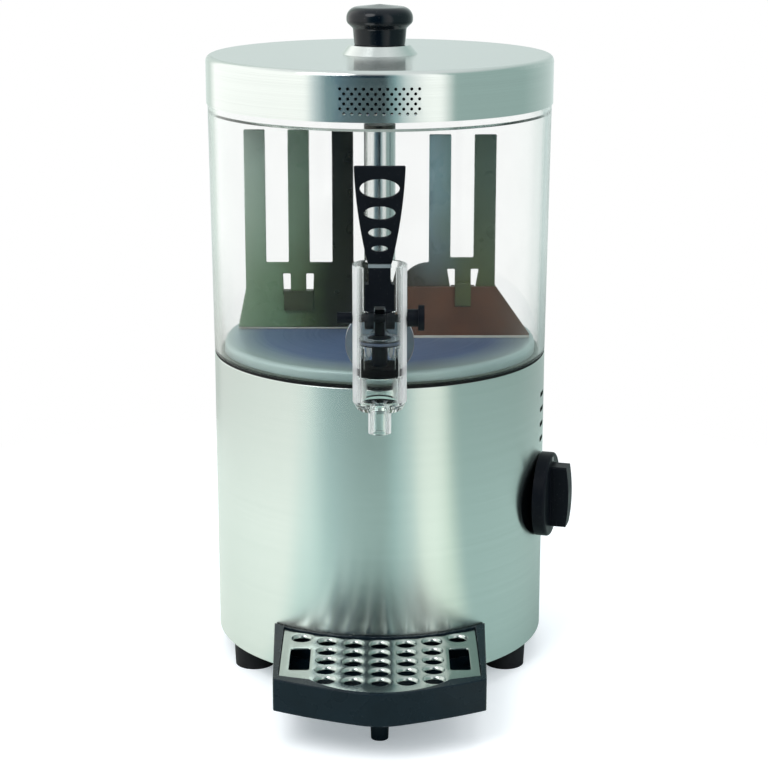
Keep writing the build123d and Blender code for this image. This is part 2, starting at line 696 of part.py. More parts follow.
def short_arm_outline():
    outer = tine_start(SHORT_ARM_TINES[-1]) + TINE_WIDTH
    inner = tine_start(SHORT_ARM_TINES[0])
    hub_top = BLADE_BOTTOM + HUB_HEIGHT
    shoulder = PAN_TOP + SHORT_ARM_SHOULDER
    lines = Polyline(
        (0, hub_top),
        (0, BLADE_BOTTOM),
        (SHORT_ARM_TIP, BLADE_BOTTOM),
        (SHORT_ARM_TIP, BLADE_BOTTOM + BLADE_TOE),
        (outer, PAN_TOP + SHORT_ARM_BEND),
        (outer, PAN_TOP + SHORT_ARM_WEB),
        (inner, PAN_TOP + SHORT_ARM_WEB),
        (inner, shoulder),
    )
    crest = ((inner + TINE_START) / 2, shoulder - BLADE_TOE)
    curve = ThreePointArc((inner, shoulder), crest, (HUB_RADIUS, hub_top))
    return make_face(lines + curve + Line((HUB_RADIUS, hub_top), (0, hub_top)))


def stirrer_paddles():
    near = HUB_RADIUS - BLADE_SHEET
    long_arm = long_arm_outline() + [tine(index, LONG_ARM_WEB) for index in LONG_ARM_TINES]
    short_arm = short_arm_outline() + [tine(index, SHORT_ARM_WEB) for index in SHORT_ARM_TINES]
    long_arm -= rib_slots(LONG_ARM_WEB, LONG_SLOT_PINCH)
    short_arm -= rib_slots(SHORT_ARM_WEB, SHORT_SLOT_PINCH)
    hub = disc(HUB_RADIUS, BLADE_BOTTOM, BLADE_BOTTOM + HUB_HEIGHT)
    paddles = hub + upright_plate(short_arm, near, HUB_RADIUS)
    paddles += Rot(0, 0, 180) * upright_plate(long_arm, near, HUB_RADIUS)
    sleeve = disc(SLEEVE_RADIUS, PAN_TOP + SLEEVE_GAP, LID_TOP)
    return paddles - sleeve - disc(SLEEVE_RADIUS - SLEEVE_WALL, PAN_TOP, PAN_TOP + SLEEVE_GAP)


def scraper(tip, bend, web, outer, pinch):
    """Wiping blade clipped to an arm's leading face by two prongs and a latch behind."""
    low = PAN_TOP + SCRAPER_GAP
    slot_low = PAN_TOP + web - RIB_SLOT_DROP - RIB_SLOT_HEIGHT
    top = slot_low + PRONG_HEIGHT
    slope = (tip - outer) / (bend - BLADE_GAP - BLADE_TOE)
    edge = min(tip - slope * (top - BLADE_BOTTOM - BLADE_TOE), tip)
    blade = make_face(
        Polyline(
            (SCRAPER_START, low),
            (tip, low),
            (tip, BLADE_BOTTOM + BLADE_TOE),
            (edge, top),
            (SCRAPER_START, top),
            close=True,
        )
    )
    piece = upright_plate(blade, HUB_RADIUS, HUB_RADIUS + SCRAPER_SHEET)
    near = RIB_WIDTH / 2 + SEATED
    far = RIB_WIDTH / 2 + RIB_SLOT_WIDTH - pinch - SEATED
    reach = BLADE_SHEET + SCRAPER_SHEET
    back = HUB_RADIUS - reach
    for side in (-1, 1):
        prong = Rectangle(far - near, PRONG_HEIGHT - SEATED)
        place = Pos(RIB_CENTRE + side * (near + far) / 2, slot_low + (PRONG_HEIGHT + SEATED) / 2)
        piece += upright_plate(place * prong, back, HUB_RADIUS)
    latch = Rectangle(2 * far, LATCH_HEIGHT)
    place = Pos(RIB_CENTRE, top - LATCH_HEIGHT / 2)
    return piece + upright_plate(place * latch, back, HUB_RADIUS - BLADE_SHEET)


def long_scraper():
    outer = tine_start(LONG_ARM_TINES[-1]) + TINE_WIDTH
    return Rot(0, 0, 180) * scraper(LONG_ARM_TIP, LONG_ARM_BEND, LONG_ARM_WEB, outer, LONG_SLOT_PINCH)


def short_scraper():
    outer = tine_start(SHORT_ARM_TINES[-1]) + TINE_WIDTH
    return scraper(SHORT_ARM_TIP, SHORT_ARM_BEND, SHORT_ARM_WEB, outer, SHORT_SLOT_PINCH)


# Tank


def tank_outer(height):
    """Outer radius of the tank at a height."""
    return BODY_RADIUS + TANK_FLARE * (height - TANK_BOTTOM) / TANK_HEIGHT


def tank_mouth():
    """Inner radius of the thick band under the lid."""
    return tank_outer(LID_SEAT) - TANK_WALL - TANK_BAND_EXTRA


def tank():
    band = LID_SEAT - TANK_BAND
    neck = tank_outer(LID_SEAT) - TANK_LEDGE
    mouth = tank_mouth()
    shell = turned(
        (BODY_RADIUS - TANK_WALL, TANK_BOTTOM),
        (BODY_RADIUS, TANK_BOTTOM),
        (tank_outer(LID_SEAT), LID_SEAT),
        (neck, LID_SEAT),
        (neck, LID_SEAT + TANK_NECK),
        (mouth, LID_SEAT + TANK_NECK),
        (mouth, band),
        (tank_outer(band) - TANK_WALL, band - TANK_BAND_EXTRA),
    )
    return shell - forward(SPIGOT_RADIUS + SEATED, 0, 2 * BODY_RADIUS, SPIGOT_Z)


def forward(radius, near, far, height):
    """Cylinder along the tap's spigot between two distances in front of the axis."""
    rod = Rot(90, 0, 0) * Cylinder(radius, far - near, align=UPRIGHT)
    return Pos(0, -near, height) * rod


def tank_cone(inset):
    """Solid inside of the tank's outer face, less a wall."""
    return taper(BODY_RADIUS - inset, tank_outer(LID_SEAT) - inset, TANK_BOTTOM, LID_SEAT)


def flange_face():
    """Distance in front of the axis of the spigot flange's back."""
    return tank_outer(SPIGOT_Z + SPIGOT_FLANGE_RADIUS) + GASKET_SHEET


def nut_face():
    """Distance in front of the axis of the tap nut's seat inside the tank."""
    low = tank_outer(SPIGOT_Z - TAP_NUT_RADIUS) - TANK_WALL
    return inside_flat(low, 2 * TAP_NUT_RADIUS) - GASKET_SHEET


def tap_gasket():
    near = inside_flat(BODY_RADIUS, 2 * SPIGOT_FLANGE_RADIUS) - TANK_FLARE
    gasket = forward(SPIGOT_FLANGE_RADIUS, near, flange_face(), SPIGOT_Z)
    gasket -= tank_cone(0)
    return gasket - forward(SPIGOT_RADIUS, near, flange_face(), SPIGOT_Z)


def tap_washer():
    washer = forward(TAP_NUT_RADIUS, nut_face(), BODY_RADIUS, SPIGOT_Z)
    washer &= tank_cone(TANK_WALL)
    return washer - forward(SPIGOT_RADIUS, nut_face(), BODY_RADIUS, SPIGOT_Z)


def tap_nut():
    blank = extrude(RegularPolygon(TAP_NUT_RADIUS, 6), TAP_NUT_SHEET)
    nut = Pos(0, -nut_face() + TAP_NUT_SHEET, SPIGOT_Z) * (Rot(90, 0, 0) * blank)
    return nut - forward(SPIGOT_RADIUS, nut_face() - TAP_NUT_SHEET, nut_face(), SPIGOT_Z)


def tap_body():
    tube = disc(TAP_RADIUS, TAP_CHAMBER_FLOOR, TAP_TOP)
    tube += taper(TAP_FOOT_RADIUS, TAP_RADIUS, TAP_BOTTOM, TAP_CHAMBER_FLOOR)
    tube += disc(NOZZLE_RADIUS, NOZZLE_TIP, TAP_BOTTOM)
    body = Pos(0, -TAP_REACH) * tube
    spigot_end = nut_face() - TAP_NUT_SHEET - SPIGOT_TAIL
    body += forward(SPIGOT_RADIUS, spigot_end, TAP_REACH, SPIGOT_Z)
    body += forward(SPIGOT_FLANGE_RADIUS, flange_face(), flange_face() + SPIGOT_FLANGE_SHEET, SPIGOT_Z)
    bore = disc(TAP_BORE, SEAT_Z, TAP_TOP)
    bore += disc(TAP_CHAMBER_RADIUS, TAP_CHAMBER_FLOOR, SEAT_Z)
    bore += taper(NOZZLE_BORE, TAP_CHAMBER_RADIUS, TAP_CHAMBER_FLOOR - TAP_FLOOR / 2, TAP_CHAMBER_FLOOR)
    bore += disc(NOZZLE_BORE, NOZZLE_TIP, TAP_CHAMBER_FLOOR)
    bore += flow_grooves()
    body -= Pos(0, -TAP_REACH) * bore
    body -= forward(SPIGOT_BORE, spigot_end, TAP_REACH, SPIGOT_Z)
    body -= lever_slot()
    pin = Pos(0, -TAP_REACH, PIVOT_Z) * (Rot(0, 90, 0) * Cylinder(PIVOT_RADIUS + SEATED, 4 * TAP_RADIUS))
    return body - pin


def flow_grooves():
    """Grooves in the bore that let the drink past the seal once it is lifted off its seat."""
    groove = disc(FLOW_GROOVE_RADIUS, SEAT_Z, PISTON_DISC_Z - VALVE_MARGIN)
    places = PolarLocations(TAP_BORE, FLOW_GROOVES, start_angle=180 / FLOW_GROOVES)
    return [place * groove for place in places]


def lever_slot():
    """Opening in the tube's front wall that the lever swings out through."""
    stem = LEVER_STEM_DEPTH / 2
    angle = radians(LEVER_TRAVEL)
    width = LEVER_FORK_WIDTH + 6 * SLIDING
    wall = inside_flat(TAP_BORE, width)
    low = (wall - stem / cos(angle)) / tan(angle) - 2 * SLIDING
    height = TAP_HEIGHT_OVER_PIVOT - low
    opening = Box(width, TAP_RADIUS, height, align=(Align.CENTER, Align.MAX, Align.MIN))
    return Pos(0, -TAP_REACH, PIVOT_Z + low) * opening


def crosswise(radius, low, high, depth=0.0, height=0.0):
    """Cylinder along X beside the lever's pivot."""
    rod = Rot(0, 90, 0) * Cylinder(radius, high - low, align=UPRIGHT)
    return Pos(low, -TAP_REACH + depth, PIVOT_Z + height) * rod


def pivot_pin():
    pin = crosswise(PIVOT_RADIUS, -TAP_RADIUS, TAP_RADIUS + PIVOT_HUB_LENGTH)
    return pin + crosswise(PIVOT_END_RADIUS, -TAP_RADIUS - PIVOT_END_LENGTH, -TAP_RADIUS)


def pivot_knob():
    """Thumb knob screwed on the pivot's right end."""
    hub_end = TAP_RADIUS + PIVOT_HUB_LENGTH
    knob = crosswise(PIVOT_HUB_RADIUS, TAP_RADIUS, hub_end)
    knob += crosswise(PIVOT_KNOB_RADIUS, hub_end, hub_end + PIVOT_KNOB_SHEET)
    return knob - crosswise(PIVOT_RADIUS, TAP_RADIUS, hub_end)


def lever_block(width, depth, low, high):
    """Upright block on the lever's centre line, heights from the pivot."""
    return Pos(0, -TAP_REACH, PIVOT_Z + low) * Box(width, depth, high - low, align=UPRIGHT)


def tap_lever():
    half = LEVER_FORK_WIDTH / 2
    lug = LEVER_PIN_RADIUS + LEVER_LUG_WALL
    lever = crosswise(LEVER_BOSS_RADIUS, -half, half)
    lever += crosswise(lug, -half, half, LEVER_ARM)
    web = Box(LEVER_FORK_WIDTH, LEVER_ARM, 2 * lug, align=(Align.CENTER, Align.MIN, Align.CENTER))
    lever += Pos(0, -TAP_REACH, PIVOT_Z) * web
    lever += lever_block(LEVER_FORK_WIDTH, LEVER_STEM_DEPTH, 0, LEVER_FORK_RISE)
    neck = collar_low()
    lever += lever_block(LEVER_NECK_WIDTH, LEVER_STEM_DEPTH, 0, neck)
    lever += lever_block(TANG_WIDTH, TANG_DEPTH, neck, neck + COLLAR_HEIGHT + TANG_LENGTH)
    gap = PISTON_TONGUE_SHEET + 2 * SLIDING
    fork = LEVER_BOSS_RADIUS + 4 * SLIDING
    lever -= lever_block(gap, 4 * LEVER_BOSS_RADIUS, -fork, fork)
    lever -= crosswise(PIVOT_RADIUS + RUNNING, -half, half)
    return lever - crosswise(LEVER_PIN_RADIUS, -half, half, LEVER_ARM)


def collar_low():
    """Height of the collar's lower face above the pivot."""
    return TAP_HEIGHT_OVER_PIVOT + PADDLE_SINK - COLLAR_HEIGHT


def lever_collar():
    """Pale collar between the lever's stem and its handle."""
    low = collar_low()
    high = low + COLLAR_HEIGHT
    grow = 2 * COLLAR_PROUD
    collar = lever_block(LEVER_NECK_WIDTH + grow, LEVER_STEM_DEPTH + grow, low, high)
    return collar - lever_block(TANG_WIDTH, TANG_DEPTH, low, high)


def lever_handle():
    low = collar_low() + COLLAR_HEIGHT
    return paddle() - lever_block(TANG_WIDTH, TANG_DEPTH, low, low + TANG_LENGTH)


def paddle():
    """Hand paddle: a waisted outline with oval windows, bent a little towards the user."""
    middle = PADDLE_HEIGHT / 2
    right = ThreePointArc(
        (PADDLE_TOP_HALF, PADDLE_HEIGHT), (PADDLE_WAIST_HALF, middle), (PADDLE_FOOT_HALF, 0)
    )
    left = mirror(right, Plane.YZ)
    top = Line((PADDLE_TOP_HALF, PADDLE_HEIGHT), (-PADDLE_TOP_HALF, PADDLE_HEIGHT))
    foot = Line((PADDLE_FOOT_HALF, 0), (-PADDLE_FOOT_HALF, 0))
    outline = make_face([right, top, left, foot])
    for width, height, drop in PADDLE_WINDOWS:
        outline -= Pos(0, PADDLE_HEIGHT - drop) * Ellipse(width / 2, height / 2)
    reach = 4 * PADDLE_LEAN
    slab = Pos(0, reach) * extrude(Plane.XZ * outline, 2 * reach)
    half = PADDLE_SHEET / 2
    bow = ((0, 0), (PADDLE_BOW, middle), (PADDLE_LEAN, PADDLE_HEIGHT))
    front = ThreePointArc(*[(-y - half, z) for y, z in bow])
    rear = ThreePointArc(*[(-y + half, z) for y, z in bow])
    ends = [Line(front @ 0, rear @ 0), Line(front @ 1, rear @ 1)]
    side = make_face([front, rear, *ends])
    sheet = Pos(-2 * PADDLE_TOP_HALF) * extrude(Plane.YZ * side, 4 * PADDLE_TOP_HALF)
    blade = slab & sheet
    return Pos(0, -TAP_REACH, TAP_TOP + PADDLE_SINK) * fillet(blade.edges(), PADDLE_EDGE)


def lever_pin():
    half = LEVER_FORK_WIDTH / 2
    return crosswise(LEVER_PIN_RADIUS, -half, half, LEVER_ARM)


def tap_piston():
    top = PISTON_DISC_Z + PISTON_DISC_HEIGHT
    piston = disc(TAP_BORE - SLIDING, PISTON_DISC_Z, top)
    piston -= ring_groove()
    piston += disc(PISTON_STEM_RADIUS, SEAT_Z, PISTON_DISC_Z)
    near = PIVOT_RADIUS + 3 * SLIDING
    far = sqrt((TAP_BORE - SLIDING) ** 2 - (PISTON_TONGUE_SHEET / 2) ** 2)
    crown = PIVOT_Z + LEVER_PIN_RADIUS + PISTON_TONGUE_CROWN
    tongue = Box(PISTON_TONGUE_SHEET, far - near, crown - top, align=BEHIND)
    piston += Pos(0, near, top) * tongue
    piston = Pos(0, -TAP_REACH) * piston
    return piston - pin_slot()


def pin_slot():
    """Slot in the piston's tongue, as long as the lever pin's sideways travel."""
    inner = LEVER_ARM * cos(radians(LEVER_TRAVEL)) - LEVER_PIN_RADIUS - SLIDING
    outer = LEVER_ARM + LEVER_PIN_RADIUS + SLIDING
    slack = LEVER_LIFT - LEVER_ARM * sin(radians(LEVER_TRAVEL))
    low = -LEVER_PIN_RADIUS - slack - SLIDING / 2
    high = LEVER_PIN_RADIUS + SLIDING / 2
    slot = Box(2 * PISTON_TONGUE_SHEET, outer - inner, high - low, align=BEHIND)
    return Pos(0, -TAP_REACH + inner, PIVOT_Z + low) * slot


def ring_groove():
    middle = PISTON_DISC_Z + PISTON_DISC_HEIGHT / 2
    floor = TAP_BORE - RUNNING - 2 * PISTON_RING_RADIUS
    return ring(TAP_BORE, floor, middle - PISTON_RING_RADIUS, middle + PISTON_RING_RADIUS)


def piston_ring():
    middle = PISTON_DISC_Z + PISTON_DISC_HEIGHT / 2
    major = TAP_BORE - RUNNING - PISTON_RING_RADIUS
    return Pos(0, -TAP_REACH, middle) * Torus(major, PISTON_RING_RADIUS)


def piston_seal():
    seal = disc(TAP_BORE - SLIDING, SEAT_Z, SEAT_Z + SEAL_DISC_HEIGHT)
    seal = fillet(seal.edges().filter_by(GeomType.CIRCLE), SEAL_DISC_EDGE)
    return Pos(0, -TAP_REACH) * (seal - disc(PISTON_STEM_RADIUS, SEAT_Z, SEAT_Z + SEAL_DISC_HEIGHT))


# Lid


def lid_radius():
    return tank_outer(LID_SEAT) + LID_OVERHANG


def lid_shell():
    outer = lid_radius()
    inner = outer - LID_SHEET
    under = LID_TOP - LID_SHEET
    shelf = LID_BOSS_RADIUS - LID_BOSS_SLOPE
    eye = LID_SCREW_RADIUS + SEATED
    shell = turned(
        (inner, LID_SEAT),
        (outer, LID_SEAT),
        (outer, LID_TOP),
        (LID_BOSS_RADIUS, LID_TOP),
        (shelf, BOSS_TOP),
        (eye, BOSS_TOP),
        (eye, BOSS_TOP - LID_SHEET),
        (shelf - LID_SHEET / 2, BOSS_TOP - LID_SHEET),
        (LID_BOSS_RADIUS - LID_SHEET / 2, under),
        (inner, under),
        rounds=[0, 0, LID_EDGE, 0, 0, 0, 0, 0, 0, max(LID_EDGE - LID_SHEET, LEAST_ROUND)],
    )
    return shell - vent_cutters()


def vent_cutters():
    """Staggered rows of steam holes through the front of the lid's skirt."""
    step = degrees(VENT_PITCH / lid_radius())
    cutter = Cylinder(VENT_HOLE_RADIUS, 4 * LID_SHEET)
    cutters = []
    for row in range(VENT_ROWS):
        height = LID_TOP - VENT_DROP - row * VENT_ROW_PITCH
        stagger = 0.5 if row % 2 else 0.0
        for column in range(VENT_COLUMNS - row % 2):
            turn = -90 + (column + stagger - (VENT_COLUMNS - 1) / 2) * step
            cutters.append(radial_plane(turn, lid_radius() - LID_SHEET, height) * cutter)
    return cutters


def lid_ring():
    """Soft ring inside the skirt that centres the lid on the tank's neck."""
    outer = lid_radius() - LID_SHEET
    inner = tank_outer(LID_SEAT) - TANK_LEDGE + SLIDING
    return ring(outer, inner, LID_SEAT + SLIDING, LID_SEAT + SLIDING + LID_RING_HEIGHT)


def vent_baffle():
    """Splash guard behind the steam holes; steam passes round its ends."""
    under = LID_TOP - LID_SHEET
    face = tank_mouth() - BAFFLE_GAP
    outline = Polyline(
        (face, under),
        (face, under - BAFFLE_DROP),
        (face - BAFFLE_SHEET, under - BAFFLE_DROP),
        (face - BAFFLE_SHEET, under - BAFFLE_SHEET),
        (face - BAFFLE_FLANGE, under - BAFFLE_SHEET),
        (face - BAFFLE_FLANGE, under),
        close=True,
    )
    bent = revolve(Plane.XZ * make_face(outline), Axis.Z, BAFFLE_ARC)
    return Rot(0, 0, -90 - BAFFLE_ARC / 2) * bent


def lid_knob():
    head = BOSS_TOP + LID_KNOB_HEIGHT - LID_KNOB_HEAD
    crown = BOSS_TOP + LID_KNOB_HEIGHT
    rim = crown - LID_KNOB_CROWN
    knob = turned(
        (0, BOSS_TOP),
        (LID_KNOB_NECK_BASE, BOSS_TOP),
        (LID_KNOB_NECK_TOP, head),
        (LID_KNOB_RADIUS, head + LID_KNOB_FLARE),
        (LID_KNOB_RADIUS, rim),
        (0, crown),
        rounds=[0, *LID_KNOB_ROUNDS, 0],
    )
    return knob - disc(LID_SCREW_RADIUS, BOSS_TOP, BOSS_TOP + LID_SCREW_GRIP)


def lid_screw():
    under = BOSS_TOP - LID_SHEET
    screw = disc(LID_SCREW_RADIUS, under, BOSS_TOP + LID_SCREW_GRIP)
    return screw + disc(LID_SCREW_HEAD_RADIUS, under - LID_SCREW_HEAD_HEIGHT, under)


# Thermostat and dial


def dial_plane(reach):
    return radial_plane(DIAL_TURN, reach, DIAL_Z)


def outward(radius, near, far):
    """Cylinder on the dial's axis between two distances from the tank's axis."""
    return dial_plane(near) * Cylinder(radius, far - near, align=UPRIGHT)


def thermostat_seat():
    return inside_flat(BODY_RADIUS - SHELL_SHEET, THERMOSTAT_WIDTH)


def thermostat_body():
    block = Rectangle(THERMOSTAT_WIDTH, THERMOSTAT_TALL)
    body = extrude(dial_plane(thermostat_seat()) * block, -THERMOSTAT_DEPTH)
    far = BODY_RADIUS + DIAL_NUT_HEIGHT
    body += outward(THERMOSTAT_BUSH_RADIUS, thermostat_seat(), far)
    return body - outward(SPINDLE_RADIUS + RUNNING, thermostat_seat() - SPINDLE_GRIP, far)


def thermostat_nut():
    plane = dial_plane(BODY_RADIUS)
    nut = extrude(plane * RegularPolygon(DIAL_NUT_RADIUS, 6), DIAL_NUT_HEIGHT)
    return nut - outward(THERMOSTAT_BUSH_RADIUS, BODY_RADIUS, BODY_RADIUS + DIAL_NUT_HEIGHT)


def dial_back():
    return BODY_RADIUS + DIAL_GAP


def spindle_end():
    return dial_back() + DIAL_HEIGHT + GRIP_HEIGHT / 2


def thermostat_spindle():
    return outward(SPINDLE_RADIUS, thermostat_seat() - SPINDLE_GRIP + SLIDING, spindle_end())


def thermostat_dial():
    face = dial_back() + DIAL_HEIGHT
    skirt = outward(DIAL_RADIUS, dial_back(), face)
    rims = skirt.edges().filter_by(GeomType.CIRCLE)
    front_rim = rims.sort_by_distance(dial_plane(2 * face).origin)[0]
    dial = fillet(front_rim, min(DIAL_EDGE, DIAL_HEIGHT / 2)) + dial_grip()
    dial -= outward(DIAL_NUT_RADIUS + SLIDING, dial_back(), BODY_RADIUS + DIAL_NUT_HEIGHT + SLIDING)
    dial -= outward(SPINDLE_RADIUS, dial_back(), spindle_end())
    return dial - dial_pointer()


def dial_grip():
    """Upright grip bar across the dial, with a bulging outer end."""
    half = GRIP_LENGTH / 2
    foot = dial_back() + DIAL_HEIGHT - DIAL_EDGE
    shoulder = dial_back() + DIAL_HEIGHT + GRIP_HEIGHT - GRIP_CROWN
    bar = Polyline((shoulder, -half), (foot, -half), (foot, half), (shoulder, half))
    end = ThreePointArc((shoulder, -half), (shoulder + GRIP_CROWN, 0), (shoulder, half))
    out = dial_plane(0).z_dir
    side = Plane((0, 0, DIAL_Z), x_dir=out, z_dir=out.cross(Vector(0, 0, 1)))
    grip = extrude(side * make_face([*bar.edges(), end]), GRIP_WIDTH / 2, both=True)
    return fillet(grip.edges().filter_by(Axis(Vector(), out)), GRIP_EDGE)


def dial_pointer():
    """Pale inlay along the top of the dial's face that marks the setting."""
    face = dial_back() + DIAL_HEIGHT
    middle = (GRIP_LENGTH / 2 + DIAL_RADIUS) / 2
    strip = Pos(0, middle) * Rectangle(POINTER_WIDTH, POINTER_LENGTH)
    return extrude(dial_plane(face - POINTER_DEPTH) * strip, POINTER_DEPTH)


# Rear fittings


def rear_plane(reach, height):
    return radial_plane(REAR_TURN, reach, height)


def gland_seat():
    return BODY_RADIUS


def cable_gland():
    body = extrude(rear_plane(gland_seat(), GLAND_Z) * RegularPolygon(GLAND_RADIUS, 6), GLAND_LENGTH / 2)
    dome = rear_plane(gland_seat() + GLAND_LENGTH / 2, GLAND_Z)
    body += dome * Cone(GLAND_DOME_RADIUS, GLAND_THREAD_RADIUS, GLAND_LENGTH / 2, align=UPRIGHT)
    stem = rear_plane(gland_seat() - GLAND_THREAD_LENGTH, GLAND_Z)
    body += stem * Cylinder(GLAND_THREAD_RADIUS, GLAND_THREAD_LENGTH, align=UPRIGHT)
    return body - stem * Cylinder(GLAND_BORE, GLAND_THREAD_LENGTH + GLAND_LENGTH, align=UPRIGHT)


def gland_nut():
    seat = inside_flat(BODY_RADIUS - SHELL_SHEET, 2 * GLAND_RADIUS)
    plane = rear_plane(seat - GLAND_NUT_HEIGHT, GLAND_Z)
    nut = extrude(plane * RegularPolygon(GLAND_RADIUS, 6), GLAND_NUT_HEIGHT)
    return nut - plane * Cylinder(GLAND_THREAD_RADIUS, GLAND_NUT_HEIGHT, align=UPRIGHT)


def rocker_axis():
    """Distance of the rocker's pin from the tank's axis."""
    return BODY_RADIUS - ROCKER_PIN_RADIUS


def switch_housing():
    bezel = extrude(rear_plane(BODY_RADIUS, SWITCH_Z) * Rectangle(SWITCH_WIDTH, SWITCH_TALL), SWITCH_BEZEL)
    block = Rectangle(SWITCH_BODY_WIDTH, SWITCH_BODY_TALL)
    body = bezel + extrude(rear_plane(BODY_RADIUS, SWITCH_Z) * block, -SWITCH_DEPTH)
    well = Rectangle(ROCKER_WIDTH + 2 * SLIDING, ROCKER_TALL + 2 * SLIDING)
    depth = SWITCH_DEPTH / 2
    body -= extrude(rear_plane(BODY_RADIUS - depth, SWITCH_Z) * well, depth + SWITCH_BEZEL)
    return body - rocker_pin(RUNNING)


def rocker_pin(slack):
    """Pin through the rocker, or with some slack the hole for it."""
    rod = Cylinder(ROCKER_PIN_RADIUS + slack, ROCKER_PIN_LENGTH + 2 * slack)
    return rear_plane(rocker_axis(), SWITCH_Z) * (Rot(0, 90, 0) * rod)


def switch_rocker():
    """Rocker with two faces that meet in a shallow valley; at rest its lower half stands out."""
    half = ROCKER_TALL / 2
    rise = half * tan(radians(ROCKER_TILT))
    crest = SWITCH_BEZEL + ROCKER_PROUD
    side = Polyline(
        (-ROCKER_DEPTH, -half / 2),
        (crest, -half),
        (crest - rise, 0),
        (crest, half),
        (-ROCKER_DEPTH, half / 2),
        close=True,
    )
    plate = extrude(make_face(side), ROCKER_WIDTH / 2, both=True)
    place = Plane((0, BODY_RADIUS, SWITCH_Z), x_dir=(0, 1, 0), z_dir=(1, 0, 0))
    rocker = place * plate + rocker_pin(0)
    tilt = Axis((0, rocker_axis(), SWITCH_Z), (1, 0, 0))
    return rocker.rotate(tilt, ROCKER_TILT)


def terminal_block():
    width, depth, height = TERMINAL_SIZE
    block = Pos(-TERMINAL_OFFSET, TERMINAL_OFFSET, PLATE_TOP) * Box(width, depth, height, align=UPRIGHT)
    return chamfer(block.faces().sort_by(Axis.Z)[-1].edges(), TERMINAL_EDGE)


# Drip tray


def tray_outline():
    rear = BODY_RADIUS + TRAY_GAP
    corner = -inside_flat(rear, 2 * TRAY_REAR_HALF)
    back = ThreePointArc((-TRAY_REAR_HALF, corner), (0, -rear), (TRAY_REAR_HALF, corner))
    right = Line((TRAY_REAR_HALF, corner), (TRAY_FRONT_HALF, -TRAY_CORNER_REACH))
    middle = (TRAY_FRONT_HALF / 2, -(TRAY_CORNER_REACH + TRAY_APEX_REACH) / 2 - TRAY_BULGE)
    front = ThreePointArc((TRAY_FRONT_HALF, -TRAY_CORNER_REACH), middle, (0, -TRAY_APEX_REACH))
    halves = [mirror(right, Plane.YZ), mirror(front, Plane.YZ)]
    outline = make_face([back, right, front, *halves])
    apex = outline.vertices().sort_by(Axis.Y)[0]
    outline = fillet(apex, TRAY_APEX_ROUND)
    corners = [v for v in outline.vertices() if abs(v.Y + TRAY_CORNER_REACH) < TRAY_WALL]
    return fillet(corners, TRAY_CORNER)


def grid_outline(inset):
    """Outline of the grid's seat in the tray, less a margin all round."""
    rear = BODY_RADIUS + TRAY_GAP + TRAY_REAR_WALL + inset
    half = GRID_HALF - inset
    corner = -inside_flat(rear, 2 * half)
    shoulder = (GRID_SHOULDER_HALF - inset / 2, -GRID_SHOULDER_REACH + inset)
    back = ThreePointArc((-half, corner), (0, -rear), (half, corner))
    side = Polyline((half, corner), (half, -GRID_CORNER_REACH + inset), shoulder)
    bow = ThreePointArc(shoulder, (0, -GRID_REACH + inset), (-shoulder[0], shoulder[1]))
    return make_face([back, *side.edges(), bow, *mirror(side, Plane.YZ).edges()])


def slab(face, low, high):
    """Raise a plan outline between two heights."""
    return Pos(0, 0, low) * extrude(face, high - low)


def tray_tongues(margin):
    """Two tongues behind the tray that plug into the casing, with a margin for their slots."""
    low = TRAY_LIFT + TONGUE_RISE
    near = inside_flat(BODY_RADIUS, TONGUE_SPAN + TONGUE_WIDTH) - TONGUE_REACH
    far = inside_flat(BODY_RADIUS + TRAY_GAP, TONGUE_SPAN - TONGUE_WIDTH) + TRAY_WALL / 2
    size = (TONGUE_WIDTH + 2 * margin, far - near + margin, TONGUE_HEIGHT + 2 * margin)
    tongue = Box(*size, align=(Align.CENTER, Align.MAX, Align.MIN))
    place = Pos(0, -near + margin, low - margin)
    return [place * (Pos(side * TONGUE_SPAN / 2) * tongue) for side in (-1, 1)]


def drip_tray():
    tray = slab(tray_outline(), TRAY_LIFT, TRAY_TOP)
    tray = fillet(tray.edges().group_by(Axis.Z)[-1], TRAY_EDGE)
    tray -= slab(grid_outline(0), GRID_BOTTOM, TRAY_TOP)
    tray -= slab(grid_outline(TRAY_LEDGE), TRAY_LIFT + TRAY_FLOOR, GRID_BOTTOM)
    tray += tray_tongues(0)
    return tray - Pos(0, -TRAY_FOOT_REACH) * disc(TRAY_PEG_RADIUS, TRAY_LIFT, TRAY_LIFT + TRAY_FLOOR)


def tray_foot():
    foot = taper(TRAY_FOOT_TIP, TRAY_FOOT_RADIUS, 0, TRAY_LIFT)
    foot += disc(TRAY_PEG_RADIUS, TRAY_LIFT, TRAY_LIFT + TRAY_FLOOR)
    return Pos(0, -TRAY_FOOT_REACH) * foot


def grid_holes():
    """Plan places of the drain holes: arcs about the tank's axis, one more hole each side in the first."""
    places = []
    outer = (GRID_COLUMNS + 1) // 2
    for row in range(GRID_ROWS):
        reach = BODY_RADIUS + GRID_FIRST_ROW + row * GRID_ROW_PITCH
        last = outer if row == 0 else outer - 1
        for column in range(-last, last + 1):
            across = column * GRID_PITCH
            places.append(Pos(across, -sqrt(reach**2 - across**2)))
    return places


def finger_places():
    outer = (GRID_COLUMNS + 1) // 2 * GRID_PITCH
    reach = inside_flat(BODY_RADIUS + GRID_FIRST_ROW, 2 * outer) + FINGER_GAP + FINGER_LENGTH / 2
    return [Pos(side * outer, -reach) for side in (-1, 1)]


